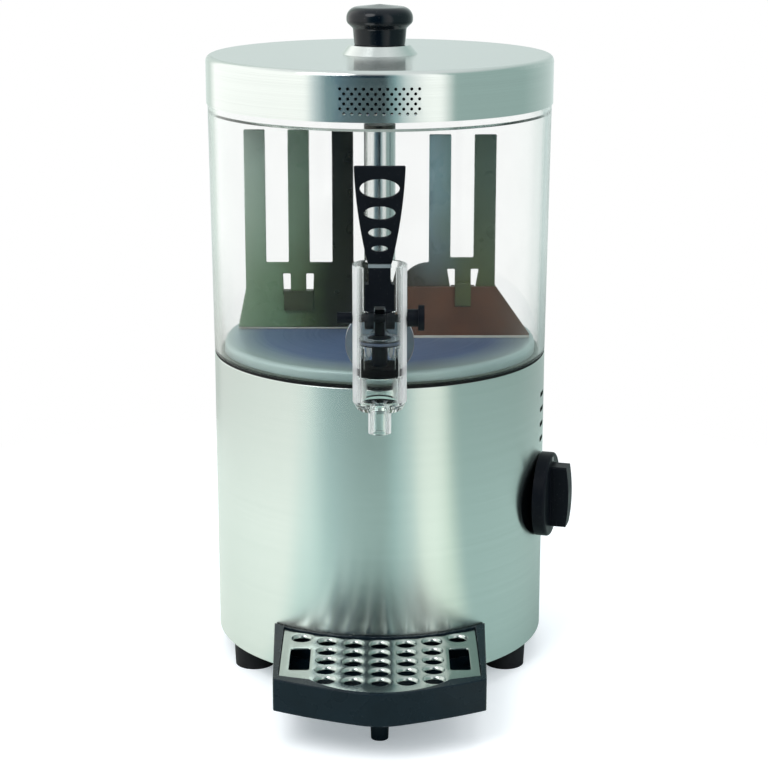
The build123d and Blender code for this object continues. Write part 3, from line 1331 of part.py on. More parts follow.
def drip_grid():
    plate = slab(grid_outline(SLIDING), GRID_BOTTOM, GRID_TOP)
    hole = disc(DRAIN_RADIUS, GRID_BOTTOM, GRID_TOP)
    plate -= [place * hole for place in grid_holes()]
    arcs = plate.edges().filter_by(GeomType.CIRCLE).group_by(Axis.Z)[-1]
    rims = [arc for arc in arcs if abs(arc.radius - DRAIN_RADIUS) < SEATED]
    plate = chamfer(rims, min(DRAIN_LIP, ROUND_SHARE * GRID_SHEET))
    finger = fillet(Rectangle(FINGER_WIDTH, FINGER_LENGTH).vertices(), FINGER_EDGE)
    return plate - [place * slab(finger, GRID_BOTTOM, GRID_TOP) for place in finger_places()]


PIECES = (
    base_shell,
    base_plate,
    rubber_feet,
    foot_screws,
    foot_nuts,
    heating_pan,
    tank_seal,
    heat_spreader,
    heating_element,
    safety_cutout,
    centre_column,
    column_bushes,
    motor_standoffs,
    motor_plate,
    gear_motor,
    motor_screws,
    motor_shaft,
    shaft_coupling,
    drive_shaft,
    stirrer_sleeve,
    stirrer_cap,
    stirrer_paddles,
    long_scraper,
    short_scraper,
    tank,
    tap_gasket,
    tap_washer,
    tap_nut,
    tap_body,
    pivot_pin,
    pivot_knob,
    tap_lever,
    lever_collar,
    lever_handle,
    lever_pin,
    tap_piston,
    piston_ring,
    piston_seal,
    lid_shell,
    lid_ring,
    vent_baffle,
    lid_knob,
    lid_screw,
    thermostat_body,
    thermostat_nut,
    thermostat_spindle,
    thermostat_dial,
    dial_pointer,
    cable_gland,
    gland_nut,
    switch_housing,
    switch_rocker,
    terminal_block,
    drip_tray,
    tray_foot,
    drip_grid,
)

os.makedirs("parts", exist_ok=True)
for piece in PIECES:
    export_step(piece(), f"parts/{piece.__name__}.step")
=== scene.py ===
"""Looks of the hot chocolate dispenser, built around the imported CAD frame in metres."""

import logging
import math
from dataclasses import dataclass, field
from enum import Enum
from typing import ClassVar

import bmesh
import bpy
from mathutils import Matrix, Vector, geometry


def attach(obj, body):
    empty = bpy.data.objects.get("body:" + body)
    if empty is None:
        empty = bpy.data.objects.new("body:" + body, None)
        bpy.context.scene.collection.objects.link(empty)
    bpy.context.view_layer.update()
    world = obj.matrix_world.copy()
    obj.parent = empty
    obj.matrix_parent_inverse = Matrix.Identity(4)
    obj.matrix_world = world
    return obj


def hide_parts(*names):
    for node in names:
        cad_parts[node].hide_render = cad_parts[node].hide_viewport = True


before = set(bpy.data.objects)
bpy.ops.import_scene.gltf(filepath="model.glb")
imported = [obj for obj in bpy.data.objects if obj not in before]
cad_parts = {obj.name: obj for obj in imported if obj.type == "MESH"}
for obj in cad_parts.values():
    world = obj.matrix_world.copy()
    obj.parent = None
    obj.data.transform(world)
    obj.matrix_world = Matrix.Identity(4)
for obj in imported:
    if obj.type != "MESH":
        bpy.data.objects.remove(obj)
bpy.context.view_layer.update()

LOG = logging.getLogger("dispenser")
MM = 0.001
IMAGE_SIDE = 768
SENSOR_WIDTH = 36.0
CASING_RADIUS = 0.115  # metres; brush marks are measured round this drum
SHARP = math.radians(35.0)
BEVEL_SEGMENTS = 3
INSIDE = 1  # delaunay_2d_cdt keeps what lies inside the outline
UNIT = (0.0, 1.0)
UPWARDS = (0.0, 0.0, 1.0)
BACKWARDS = (0.0, 1.0, 0.0)
WHITE = (1.0, 1.0, 1.0)

Colour = tuple[float, float, float]
Point = tuple[float, float]
Place = tuple[float, float, float]
Span = tuple[float, float]
Stops = tuple[tuple[float, Colour], ...]
Band = tuple[float, float, Colour]
Socket = bpy.types.NodeSocket
Node = bpy.types.Node
Tree = bpy.types.NodeTree
Piece = bpy.types.Object
Loop = list[bmesh.types.BMVert]
Feed = Socket | float | tuple
Feeds = dict[str | int, Feed]


class Grain(Enum):
    """Which way brush marks run over a metal face."""

    ROUND = "round a drum's side"
    RINGS = "in rings on a disc"
    CROSSWISE = "from side to side"
    UPRIGHT = "up and down"


class Graph:
    """Short way to add and join the nodes of one tree."""

    def __init__(self, tree: Tree) -> None:
        """Keep the tree that the nodes go into."""
        self.tree = tree

    @classmethod
    def fresh(cls, owner: bpy.types.Material | bpy.types.World) -> "Graph":
        """Start the empty tree of a material or a world.

        Args:
            owner: what the tree belongs to.

        Returns:
            The tree's graph.
        """
        owner.use_nodes = True
        owner.node_tree.nodes.clear()
        return cls(owner.node_tree)

    def feed(self, node: Node, feeds: Feeds) -> None:
        """Link sockets of a node to outputs, or set their own values.

        Args:
            node: node that takes them.
            feeds: output, number, vector or colour for each socket's name or number.
        """
        for key, value in feeds.items():
            self.put(node.inputs[key], value)

    def put(self, socket: Socket, value: Feed) -> None:
        """Link one socket to an output, or set its own value.

        Args:
            socket: socket that takes it.
            value: output of another node, number, vector or colour.
        """
        if isinstance(value, Socket):
            self.tree.links.new(value, socket)
        elif socket.type == "RGBA":
            socket.default_value = (*value, 1.0)
        else:
            socket.default_value = value

    def node(self, kind: str, feeds: Feeds | None = None, **settings: object) -> Node:
        """Add a node.

        Args:
            kind: Blender's node type, without its ShaderNode prefix.
            feeds: what goes into its sockets.
            settings: properties to set on the node.

        Returns:
            The new node.
        """
        made = self.tree.nodes.new("ShaderNode" + kind)
        for key, value in settings.items():
            setattr(made, key, value)
        self.feed(made, feeds or {})
        return made

    def math(self, operation: str, first: Feed, second: Feed = 0.0) -> Socket:
        """Work out one number from two, by Blender's name of the operation."""
        return self.node("Math", {0: first, 1: second}, operation=operation).outputs[0]

    def spread(self, value: Socket, source: Span, target: Span = UNIT) -> Socket:
        """Carry a value from one range to another, clamped.

        Args:
            value: socket to read.
            source: lowest and highest value read.
            target: what they become.

        Returns:
            The result's socket.
        """
        made = self.node("MapRange", {
            "Value": value, "From Min": source[0], "From Max": source[1],
            "To Min": target[0], "To Max": target[1],
        })
        return made.outputs["Result"]

    def blend(self, factor: Feed, first: Feed, second: Feed, kind: str = "RGBA") -> Socket:
        """Mix two colours or two vectors.

        Args:
            factor: share of the second.
            first: colour, or socket of either kind.
            second: colour, or socket of either kind.
            kind: RGBA for colours, VECTOR for vectors.

        Returns:
            The mix's socket.
        """
        made = self.node("Mix", {"Factor": factor}, data_type=kind)
        ends = [way for way in made.inputs if way.type == kind and way.name in ("A", "B")]
        for socket, value in zip(ends, (first, second)):
            self.put(socket, value)
        return next(way for way in made.outputs if way.type == kind)

    def mix(self, factor: Feed, first: Socket, second: Socket) -> Socket:
        """Mix two shaders by the share of the second."""
        return self.node("MixShader", {"Fac": factor, 1: first, 2: second}).outputs["Shader"]

    def axes(self, vector: Socket) -> dict[str, Socket]:
        """Take a vector apart into its X, Y and Z."""
        return {way.name: way for way in self.node("SeparateXYZ", {0: vector}).outputs}

    def join(self, x: Feed, y: Feed, z: Feed) -> Socket:
        """Put three numbers together as a vector."""
        return self.node("CombineXYZ", {"X": x, "Y": y, "Z": z}).outputs[0]

    def stretch(self, vector: Socket, factors: Socket) -> Socket:
        """Multiply a vector by three factors."""
        return self.node("VectorMath", {0: vector, 1: factors}, operation="MULTIPLY").outputs[0]

    def facing(self, first: Socket, second: Feed) -> Socket:
        """How much two directions of unit length agree."""
        made = self.node("VectorMath", {0: first, 1: second}, operation="DOT_PRODUCT")
        return made.outputs["Value"]

    def normal(self) -> Socket:
        """Direction that the face looks in."""
        return self.node("NewGeometry").outputs["Normal"]

    def bearing(self, axes: dict[str, Socket]) -> Socket:
        """Angle to the right of the front, in radians, of a vector taken apart."""
        return self.math("ARCTAN2", axes["X"], self.math("MULTIPLY", axes["Y"], -1.0))

    def noise(self, vector: Socket, scale: Feed, detail: float = 2.0, rough: float = 0.5,
              twist: float = 0.0) -> Socket:
        """Noise between 0 and 1.

        Args:
            vector: place to read the noise at.
            scale: cells per unit of the vector.
            detail: octaves.
            rough: weight of each further octave.
            twist: how far the noise distorts itself.

        Returns:
            The noise's socket.
        """
        made = self.node("TexNoise", {
            "Vector": vector, "Scale": scale, "Detail": detail, "Roughness": rough,
            "Distortion": twist,
        })
        return made.outputs["Fac"]

    def cells(self, vector: Socket, scale: Feed, feature: str = "F1") -> Socket:
        """Distance to the nearest of scattered points."""
        made = self.node("TexVoronoi", {"Vector": vector, "Scale": scale}, feature=feature)
        return made.outputs["Distance"]

    def ramp(self, share: Socket, stops: Stops, span: Span) -> Socket:
        """Let a colour follow a value.

        Args:
            share: value between 0 and 1.
            stops: places in order, each with its colour.
            span: places that 0 and 1 stand for.

        Returns:
            The colour's socket.
        """
        made = self.node("ValToRGB", {"Fac": share})
        steps = made.color_ramp.elements
        while len(steps) < len(stops):
            steps.new(1.0)
        low, high = span
        for step, (place, colour) in zip(steps, stops):
            step.position = (place - low) / (high - low)
            step.color = (*colour, 1.0)
        return made.outputs["Color"]

    def group(self, tree: Tree, values: Feeds) -> dict[str, Socket]:
        """Place a shared effect with this surface's own values and give what it puts out."""
        made = self.node("Group", values, node_tree=tree)
        return {way.name: way for way in made.outputs}


@dataclass
class Effects:
    """Shader node groups that several finishes share; each is built once."""

    line_octaves: float = 1.0
    line_rough: float = 0.4
    bands_along: float = 0.45
    bands_across: float = 0.16
    smudge_octaves: float = 4.0
    smudge_twist: float = 0.8
    smudge_span: Span = (0.42, 0.68)
    speck_span: Span = (0.05, 0.16)
    mottle_octaves: float = 5.0
    mottle_span: Span = (0.3, 0.7)
    wear_samples: int = 4
    wear_facing: Span = (0.97, 0.75)
    wear_octaves: float = 3.0
    wear_span: Span = (0.4, 0.65)
    round_space: Tree = field(init=False)
    brush: Tree = field(init=False)
    handling: Tree = field(init=False)
    skin: Tree = field(init=False)
    wear_and_sheen: Tree = field(init=False)

    def __post_init__(self) -> None:
        """Build every effect."""
        self.round_space = self._round_space()
        self.brush = self._brush()
        self.handling = self._handling()
        self.skin = self._skin()
        self.wear_and_sheen = self._wear_and_sheen()

    @staticmethod
    def _start(name: str, inputs: dict[str, float],
               outputs: tuple[str, ...]) -> tuple[Graph, dict[str, Socket], Node]:
        """Make an empty group with its sockets; the first is always the place.

        Args:
            name: the group's name.
            inputs: names of the further sockets with their first values.
            outputs: names of the value sockets it puts out.

        Returns:
            The group's graph, what is given to it by name, and its output node.
        """
        tree = bpy.data.node_groups.new(name, "ShaderNodeTree")
        tree.interface.new_socket("Place", in_out="INPUT", socket_type="NodeSocketVector")
        for key, value in inputs.items():
            made = tree.interface.new_socket(key, in_out="INPUT", socket_type="NodeSocketFloat")
            made.default_value = value
        for key in outputs:
            tree.interface.new_socket(key, in_out="OUTPUT", socket_type="NodeSocketFloat")
        given = {way.name: way for way in tree.nodes.new("NodeGroupInput").outputs}
        return Graph(tree), given, tree.nodes.new("NodeGroupOutput")

    def _round_space(self) -> Tree:
        """Arc length round the tank's axis at the casing's side, and radius.

        Returns:
            The group.
        """
        graph, given, end = self._start("round_space", {}, ("Arc", "Radius"))
        axes = graph.axes(given["Place"])
        squares = [graph.math("POWER", axes[way], 2.0) for way in "XY"]
        graph.feed(end, {
            "Arc": graph.math("MULTIPLY", graph.bearing(axes), CASING_RADIUS),
            "Radius": graph.math("SQRT", graph.math("ADD", *squares)),
        })
        return graph.tree

    def _brush(self) -> Tree:
        """Fine lines and broader bands left by brushing along the first axis of the place.

        Returns:
            The group.
        """
        graph, given, end = self._start(
            "brush_marks", {"Along": 12.0, "Across": 2400.0}, ("Lines", "Bands"))
        along, across = given["Along"], given["Across"]
        fine = graph.stretch(given["Place"], graph.join(along, across, across))
        short = graph.math("MULTIPLY", along, self.bands_along)
        wide = graph.math("MULTIPLY", across, self.bands_across)
        broad = graph.stretch(given["Place"], graph.join(short, wide, wide))
        graph.feed(end, {
            "Lines": graph.noise(fine, 1.0, self.line_octaves, self.line_rough),
            "Bands": graph.noise(broad, 1.0),
        })
        return graph.tree

    def _handling(self) -> Tree:
        """Soft smudges and small specks left by use and wiping.

        Returns:
            The group.
        """
        graph, given, end = self._start(
            "handling_marks", {"Smudge Scale": 22.0, "Speck Scale": 420.0}, ("Smudge", "Specks"))
        smudge = graph.noise(given["Place"], given["Smudge Scale"], self.smudge_octaves,
                             twist=self.smudge_twist)
        specks = graph.cells(given["Place"], given["Speck Scale"])
        graph.feed(end, {
            "Smudge": graph.spread(smudge, self.smudge_span),
            "Specks": graph.spread(specks, self.speck_span, (1.0, 0.0)),
        })
        return graph.tree

    def _skin(self) -> Tree:
        """Fine moulded grain with slow mottling of the tone.

        Returns:
            The group.
        """
        graph, given, end = self._start(
            "moulded_skin", {"Grain Scale": 2600.0, "Mottle Scale": 60.0}, ("Grain", "Mottle"))
        mottle = graph.noise(given["Place"], given["Mottle Scale"], self.mottle_octaves)
        graph.feed(end, {
            "Grain": graph.cells(given["Place"], given["Grain Scale"], "SMOOTH_F1"),
            "Mottle": graph.spread(mottle, self.mottle_span),
        })
        return graph.tree

    def _wear_and_sheen(self) -> Tree:
        """Broken rubbing along edges, from how far a rounded normal leaves the face's own; where a
        finish gives its edges a pale colour, it is also a painted highlight.

        Returns:
            The group.
        """
        graph, given, end = self._start(
            "edge_wear_and_sheen", {"Width": 0.0008, "Break Scale": 260.0}, ("Wear",))
        rounded = graph.node("Bevel", {"Radius": given["Width"]}, samples=self.wear_samples)
        turned = graph.facing(rounded.outputs["Normal"], graph.normal())
        broken = graph.noise(given["Place"], given["Break Scale"], self.wear_octaves)
        edge = graph.spread(turned, self.wear_facing)
        graph.feed(end, {
            "Wear": graph.math("MULTIPLY", edge, graph.spread(broken, self.wear_span)),
        })
        return graph.tree


EFFECTS = Effects()


@dataclass(frozen=True)
class Finish:
    """A named surface finish; its material is built on first use."""

    name: str

    def material(self) -> bpy.types.Material:
        """Give the finish's material.

        Returns:
            The material, built once under the finish's name.
        """
        title = "finish_" + self.name
        made = bpy.data.materials.get(title)
        if made is None:
            made = bpy.data.materials.new(title)
            graph = Graph.fresh(made)
            shader = graph.node("BsdfPrincipled")
            end = graph.node("OutputMaterial", {"Surface": shader.outputs["BSDF"]})
            self.paint(graph, shader, graph.node("TexCoord").outputs["Object"], end)
        return made

    def paint(self, graph: Graph, shader: Node, place: Socket, end: Node) -> None:
        """Set the shader up; each kind of finish has its own way.

        Args:
            graph: the material's graph.
            shader: its main shader.
            place: place on the piece.
            end: its output node.
        """
        raise NotImplementedError

    @staticmethod
    def light_band(graph: Graph, place: Socket, base: Socket, light_band: Band) -> Socket:
        """Painted light and shade: let a colour pass into another with the distance from the tank's
        axis.

        Args:
            graph: the material's graph.
            place: place on the piece.
            base: the colour at the first radius.
            light_band: first radius, second radius and the colour there.

        Returns:
            The banded colour's socket.
        """
        near, far, colour = light_band
        turn = graph.group(EFFECTS.round_space, {"Place": place})
        return graph.blend(graph.spread(turn["Radius"], (near, far)), base, colour)

    @staticmethod
    def bump(graph: Graph, shader: Node, height: Socket, depth: float,
             strength: float = 1.0) -> None:
        """Raise the surface by a height.

        Args:
            graph: the material's graph.
            shader: shader whose normal is turned.
            height: height between 0 and 1.
            depth: metres that a height of 1 stands for.
            strength: share of the effect.
        """
        made = graph.node("Bump", {"Distance": depth, "Strength": strength, "Height": height})
        graph.feed(shader, {"Normal": made.outputs["Normal"]})


@dataclass(frozen=True)
class BrushedMetal(Finish):
    """Metal with brush marks, handling marks and rubbed edges."""

    LINE_SHARE: ClassVar[float] = 0.6
    BAND_SHARE: ClassVar[float] = 0.4
    TONE_SPAN: ClassVar[Span] = (0.32, 0.68)
    FLAT_SPAN: ClassVar[Span] = (0.55, 0.8)
    RUBBED: ClassVar[float] = 1.25

    colour: Colour
    shade: Colour
    grain: Grain = Grain.ROUND
    top_grain: Grain | None = None
    rough: Span = (0.2, 0.34)
    along: float = 4.0
    across: float = 2200.0
    stretch: float = 0.0
    depth: float = 0.000006
    wear_and_sheen: float = 0.5
    smudge: float = 0.06
    metal: float = 1.0
    # Painted light by the distance from the tank's axis, where given.
    rim: Band | None = None

    def _space(self, graph: Graph, place: Socket, grain: Grain) -> Socket:
        """Turn a place so that its first axis runs along the brush marks.

        Args:
            graph: the material's graph.
            place: place on the piece.
            grain: which way the marks run.

        Returns:
            The turned place's socket.
        """
        if grain is Grain.CROSSWISE:
            return place
        axes = graph.axes(place)
        if grain is Grain.UPRIGHT:
            return graph.join(axes["Z"], axes["X"], axes["Y"])
        turn = graph.group(EFFECTS.round_space, {"Place": place})
        over = axes["Z"] if grain is Grain.ROUND else turn["Radius"]
        return graph.join(turn["Arc"], over, 0.0)

    def _streak(self, graph: Graph, flat: Socket | None) -> Socket:
        """Find the way in which reflections are drawn out, across the brush marks.

        Args:
            graph: the material's graph.
            flat: 1 on faces that look up; none where the top has no grain of its own.

        Returns:
            Socket of the direction: up on sides, backwards on a top.
        """
        upwards = graph.join(*UPWARDS)
        if flat is None:
            return upwards
        return graph.blend(flat, upwards, graph.join(*BACKWARDS), "VECTOR")

    def paint(self, graph: Graph, shader: Node, place: Socket, end: Node) -> None:
        """Brush the metal along its grain.

        Args:
            graph: the material's graph.
            shader: its main shader.
            place: place on the piece.
            end: its output node, left as it is.
        """
        space, flat = self._space(graph, place, self.grain), None
        if self.top_grain is not None:
            flat = graph.spread(graph.axes(graph.normal())["Z"], self.FLAT_SPAN)
            space = graph.blend(flat, space, self._space(graph, place, self.top_grain), "VECTOR")
        brush = graph.group(
            EFFECTS.brush, {"Place": space, "Along": self.along, "Across": self.across})
        marks = graph.group(EFFECTS.handling, {"Place": place})
        wear_and_sheen = graph.group(EFFECTS.wear_and_sheen, {"Place": place})
        lines = graph.math("ADD", graph.math("MULTIPLY", brush["Lines"], self.LINE_SHARE),
                           graph.math("MULTIPLY", brush["Bands"], self.BAND_SHARE))
        tone = graph.spread(lines, self.TONE_SPAN)
        base = graph.blend(tone, self.shade, self.colour)
        if self.rim is not None:
            base = self.light_band(graph, place, base, self.rim)
        rubbed_and_sheen = graph.math("MULTIPLY", wear_and_sheen["Wear"], self.wear_and_sheen)
        bright = tuple(min(1.0, self.RUBBED * c) for c in self.colour)
        rough = graph.spread(tone, UNIT, self.rough[::-1])
        smudged = graph.math("MULTIPLY", marks["Smudge"], self.smudge)
        graph.feed(shader, {
            "Base Color": graph.blend(rubbed_and_sheen, base, bright),
            "Roughness": graph.math("ADD", rough, smudged),
            "Metallic": self.metal,
        })
        self.bump(graph, shader, brush["Bands"], self.depth)
        if self.stretch:
            graph.feed(shader, {"Anisotropic": self.stretch, "Tangent": self._streak(graph, flat)})


@dataclass(frozen=True)
class Moulded(Finish):
    """Moulded plastic, rubber or paint with a fine skin."""

    WANDER: ClassVar[Span] = (-0.02, 0.02)
    PAINTED_LIGHT_SHARE: ClassVar[float] = 0.9
    SPECK: ClassVar[Colour] = (0.55, 0.55, 0.52)
    SMUDGE: ClassVar[float] = 0.08
    COAT_ROUGH: ClassVar[float] = 0.06
    FLESH_DEPTH: ClassVar[float] = 0.004

    colour: Colour
    shade: Colour
    # Colour of rubbed edges; a pale one also paints a highlight along them.
    edge: Colour
    rough: Span = (0.32, 0.48)
    grain: float = 2600.0
    depth: float = 0.00003
    wear_and_sheen: float = 0.35
    dust: float = 0.05
    coat: float = 0.0
    flesh: float = 0.0
    shine: float = 0.5
    # The next two give painted light, shade and reflections across the moulding, for its upper and
    # its lower part; change gives the heights where the lower passes into the upper.
    across: Stops = ()
    low_painted_light: Stops = ()
    change: Span = UNIT
    # Painted shade by the distance from the tank's axis, where given.
    rim: Band | None = None

    def _painted_light(self, graph: Graph, place: Socket, mottle: Socket) -> Socket:
        """Painted light, shade and reflections: colours that change from tine to tine across the
        moulding, and from its lower part to its upper part.

        Args:
            graph: the material's graph.
            place: place on the moulding.
            mottle: slow noise that blurs where one painted colour passes into the next.

        Returns:
            The painted colour's socket.
        """
        axes = graph.axes(place)
        painted_tones = []
        for stops in (self.low_painted_light, self.across):
            reach = max(x for x, _ in stops)
            wander = graph.spread(mottle, UNIT, self.WANDER)
            share = graph.math("ADD", graph.spread(axes["X"], (-reach, reach)), wander)
            painted_tones.append(graph.ramp(share, stops, (-reach, reach)))
        return graph.blend(graph.spread(axes["Z"], self.change), *painted_tones)

    def paint(self, graph: Graph, shader: Node, place: Socket, end: Node) -> None:
        """Mottle the colour, paint light and shade across it where stops are given, rub the edges,
        with a painted highlight where their colour is pale, and give the skin its grain.

        Args:
            graph: the material's graph.
            shader: its main shader.
            place: place on the piece.
            end: its output node, left as it is.
        """
        skin = graph.group(EFFECTS.skin, {"Place": place, "Grain Scale": self.grain})
        marks = graph.group(EFFECTS.handling, {"Place": place})
        wear_and_sheen = graph.group(EFFECTS.wear_and_sheen, {"Place": place})
        base = graph.blend(skin["Mottle"], self.shade, self.colour)
        # painted light, shade and reflections across the moulding, where stops are given
        if self.across:
            base = graph.blend(self.PAINTED_LIGHT_SHARE, base, self._painted_light(graph, place, skin["Mottle"]))
        if self.rim is not None:
            base = self.light_band(graph, place, base, self.rim)
        dusted = graph.math("MULTIPLY", marks["Specks"], self.dust)
        base = graph.blend(dusted, base, self.SPECK)
        # rubbed edges, and a painted highlight where the edge colour is pale
        rubbed_and_sheen = graph.math("MULTIPLY", wear_and_sheen["Wear"], self.wear_and_sheen)
        rough = graph.spread(skin["Mottle"], UNIT, self.rough)
        smudged = graph.math("MULTIPLY", marks["Smudge"], self.SMUDGE)
        graph.feed(shader, {
            "Base Color": graph.blend(rubbed_and_sheen, base, self.edge),
            "Roughness": graph.math("ADD", rough, smudged),
            "Specular IOR Level": self.shine,
            "Coat Weight": self.coat, "Coat Roughness": self.COAT_ROUGH,
        })
        if self.flesh:
            graph.feed(shader, {
                "Subsurface Weight": self.flesh, "Subsurface Scale": self.FLESH_DEPTH})
        self.bump(graph, shader, skin["Grain"], self.depth)


@dataclass(frozen=True)
class Clear(Finish):
    """Clear moulded plastic with faint smears; lamps shine through it."""

    SIDE_SPAN: ClassVar[Span] = (0.72, 0.9)
    SMEAR_SCALE: ClassVar[float] = 16.0
    WAVE_SCALE: ClassVar[float] = 30.0
    WAVE_SHARE: ClassVar[float] = 0.3
    FAINT: ClassVar[float] = 0.97
    SIDE_LIGHT_TONE: ClassVar[float] = 0.93
    PASSED: ClassVar[float] = 0.98

    colour: Colour
    rough: Span = (0.01, 0.05)
    index: float = 1.49
    wave: float = 0.00002
    gleam: float = 0.8
    frost: float = 0.0
    # Share of painted light on the faces that look left and right: a pale diffuse layer standing in
    # for bright surroundings seen through the side walls.
    side_light: float = 0.0

    def _dimmed(self, share: float) -> Colour:
        """The plastic's colour times a share."""
        return tuple(share * c for c in self.colour)

    def _aside(self, graph: Graph, most: float) -> Socket:
        """Value that rises to most on the faces that look to the left and right."""
        sideways = graph.math("ABSOLUTE", graph.axes(graph.normal())["X"])
        return graph.spread(sideways, self.SIDE_SPAN, (0.0, most))

    def paint(self, graph: Graph, shader: Node, place: Socket, end: Node) -> None:
        """Make the plastic clear, with painted light on its sides, and let lamps through it.

        Args:
            graph: the material's graph.
            shader: its main shader.
            place: place on the piece.
            end: its output node.
        """
        marks = graph.group(EFFECTS.handling, {"Place": place, "Smudge Scale": self.SMEAR_SCALE})
        skin = graph.group(EFFECTS.skin, {"Place": place, "Mottle Scale": self.WAVE_SCALE})
        rough = graph.spread(marks["Smudge"], UNIT, self.rough)
        if self.frost:
            rough = graph.math("MAXIMUM", rough, self._aside(graph, self.frost))
        graph.feed(shader, {
            "Base Color": graph.blend(skin["Mottle"], self.colour, self._dimmed(self.FAINT)),
            "Roughness": rough,
            "Transmission Weight": 1.0,
            "IOR": self.index,
            "Specular Tint": (self.gleam, self.gleam, self.gleam),
        })
        self.bump(graph, shader, skin["Mottle"], self.wave, self.WAVE_SHARE)
        clear = shader.outputs["BSDF"]
        # painted light: a pale diffuse layer on the sideways faces, standing in for the bright
        # surroundings seen through the side walls
        if self.side_light:
            side_light_layer = graph.node("BsdfDiffuse", {"Color": self._dimmed(self.SIDE_LIGHT_TONE)})
            clear = graph.mix(self._aside(graph, self.side_light), clear, side_light_layer.outputs["BSDF"])
        passing = graph.node("BsdfTransparent", {"Color": self._dimmed(self.PASSED)})
        shadow = graph.node("LightPath").outputs["Is Shadow Ray"]
        graph.feed(end, {"Surface": graph.mix(shadow, clear, passing.outputs["BSDF"])})


CASING_STEEL = BrushedMetal(
    "casing_steel", (0.63, 0.68, 0.655), (0.59, 0.645, 0.62), rough=(0.22, 0.25), along=1.5,
    across=1500.0, stretch=0.95, depth=0.0000006, smudge=0.008)
LID_STEEL = BrushedMetal(
    "lid_steel", (0.74, 0.775, 0.76), (0.70, 0.735, 0.72), top_grain=Grain.CROSSWISE,
    rough=(0.15, 0.18), along=1.5, across=1500.0, stretch=0.9, depth=0.0000005, smudge=0.008)
# The pan is painted lighter towards its rim: painted light where light falls in through the tank's
# sides; its middle stays darker and bluer.
PAN_STEEL = BrushedMetal(
    "pan_steel", (0.185, 0.275, 0.48), (0.145, 0.22, 0.40), grain=Grain.RINGS,
    rough=(0.40, 0.48), depth=0.0000008, metal=0.55, rim=(0.080, 0.107, (0.47, 0.60, 0.59)))
SHEET_STEEL = BrushedMetal(
    "sheet_steel", (0.50, 0.52, 0.53), (0.40, 0.42, 0.43), grain=Grain.CROSSWISE,
    rough=(0.3, 0.45))
BRIGHT_STEEL = BrushedMetal(
    "bright_steel", (0.68, 0.69, 0.70), (0.58, 0.59, 0.60), grain=Grain.UPRIGHT,
    rough=(0.12, 0.22))
ALLOY = BrushedMetal("alloy", (0.62, 0.63, 0.65), (0.52, 0.53, 0.55), rough=(0.3, 0.42))
ELEMENT_SHEATH = BrushedMetal(
    "element_sheath", (0.20, 0.17, 0.15), (0.10, 0.09, 0.09), rough=(0.4, 0.55))
BUSH_BRASS = BrushedMetal("bush_brass", (0.66, 0.47, 0.20), (0.52, 0.36, 0.14), rough=(0.2, 0.3))
GRID_CHROME = BrushedMetal(
    "grid_chrome", (0.52, 0.57, 0.545), (0.47, 0.52, 0.495), grain=Grain.CROSSWISE,
    rough=(0.14, 0.2), depth=0.0000006)
MOTOR_PAINT = Moulded(
    "motor_paint", (0.020, 0.022, 0.026), (0.012, 0.013, 0.016), (0.3, 0.3, 0.3), grain=900.0)
BLACK_PLASTIC = Moulded(
    "black_plastic", (0.0032, 0.0046, 0.0076), (0.0024, 0.0034, 0.0056), (0.04, 0.044, 0.052),
    shine=0.1)
COLLAR_PLASTIC = Moulded(
    "collar_plastic", (0.17, 0.21, 0.22), (0.14, 0.175, 0.185), (0.3, 0.34, 0.35),
    rough=(0.25, 0.35))
SEAL_RUBBER = Moulded(
    "seal_rubber", (0.0022, 0.0024, 0.0030), (0.0016, 0.0017, 0.0022), (0.008, 0.008, 0.009),
    rough=(0.6, 0.75), grain=1500.0, dust=0.0, shine=0.08)
KNOB_GLOSS = Moulded(
    "knob_gloss", (0.0018, 0.0042, 0.0075), (0.0012, 0.0030, 0.0055), (0.03, 0.035, 0.04),
    rough=(0.10, 0.16), depth=0.000004, coat=0.38, shine=0.12)
# The tray's rim edges are lightened strongly by the edge mark: a painted highlight along them, as
# well as rubbing.
TRAY_PLASTIC = Moulded(
    "tray_plastic", (0.0036, 0.0105, 0.0165), (0.0027, 0.0078, 0.0122), (0.16, 0.18, 0.20),
    rough=(0.2, 0.3), grain=1800.0, wear_and_sheen=0.9, dust=0.0, shine=0.15)
BLACK_RUBBER = Moulded(
    "black_rubber", (0.011, 0.012, 0.014), (0.007, 0.008, 0.009), (0.04, 0.04, 0.042),
    rough=(0.55, 0.7), grain=1500.0, shine=0.15)
# The seal's outermost edge is painted near-black: a painted shadow line in the joint between tank
# and casing.
TANK_SEAL_RUBBER = Moulded(
    "tank_seal_rubber", (0.15, 0.19, 0.165), (0.11, 0.145, 0.125), (0.06, 0.06, 0.06),
    rough=(0.5, 0.65), grain=1500.0, shine=0.15, rim=(0.1109, 0.1114, (0.003, 0.0035, 0.004)))
TAP_NUT_PLASTIC = Moulded(
    "tap_nut_plastic", (0.52, 0.57, 0.50), (0.44, 0.49, 0.43), (0.65, 0.68, 0.62),
    rough=(0.2, 0.3))
SMOKE_PLASTIC = Moulded(
    "smoke_plastic", (0.075, 0.095, 0.14), (0.05, 0.065, 0.10), (0.2, 0.23, 0.28),
    rough=(0.14, 0.24))
PALE_PLASTIC = Moulded(
    "pale_plastic", (0.60, 0.64, 0.63), (0.52, 0.56, 0.55), (0.72, 0.75, 0.74),
    rough=(0.25, 0.35))
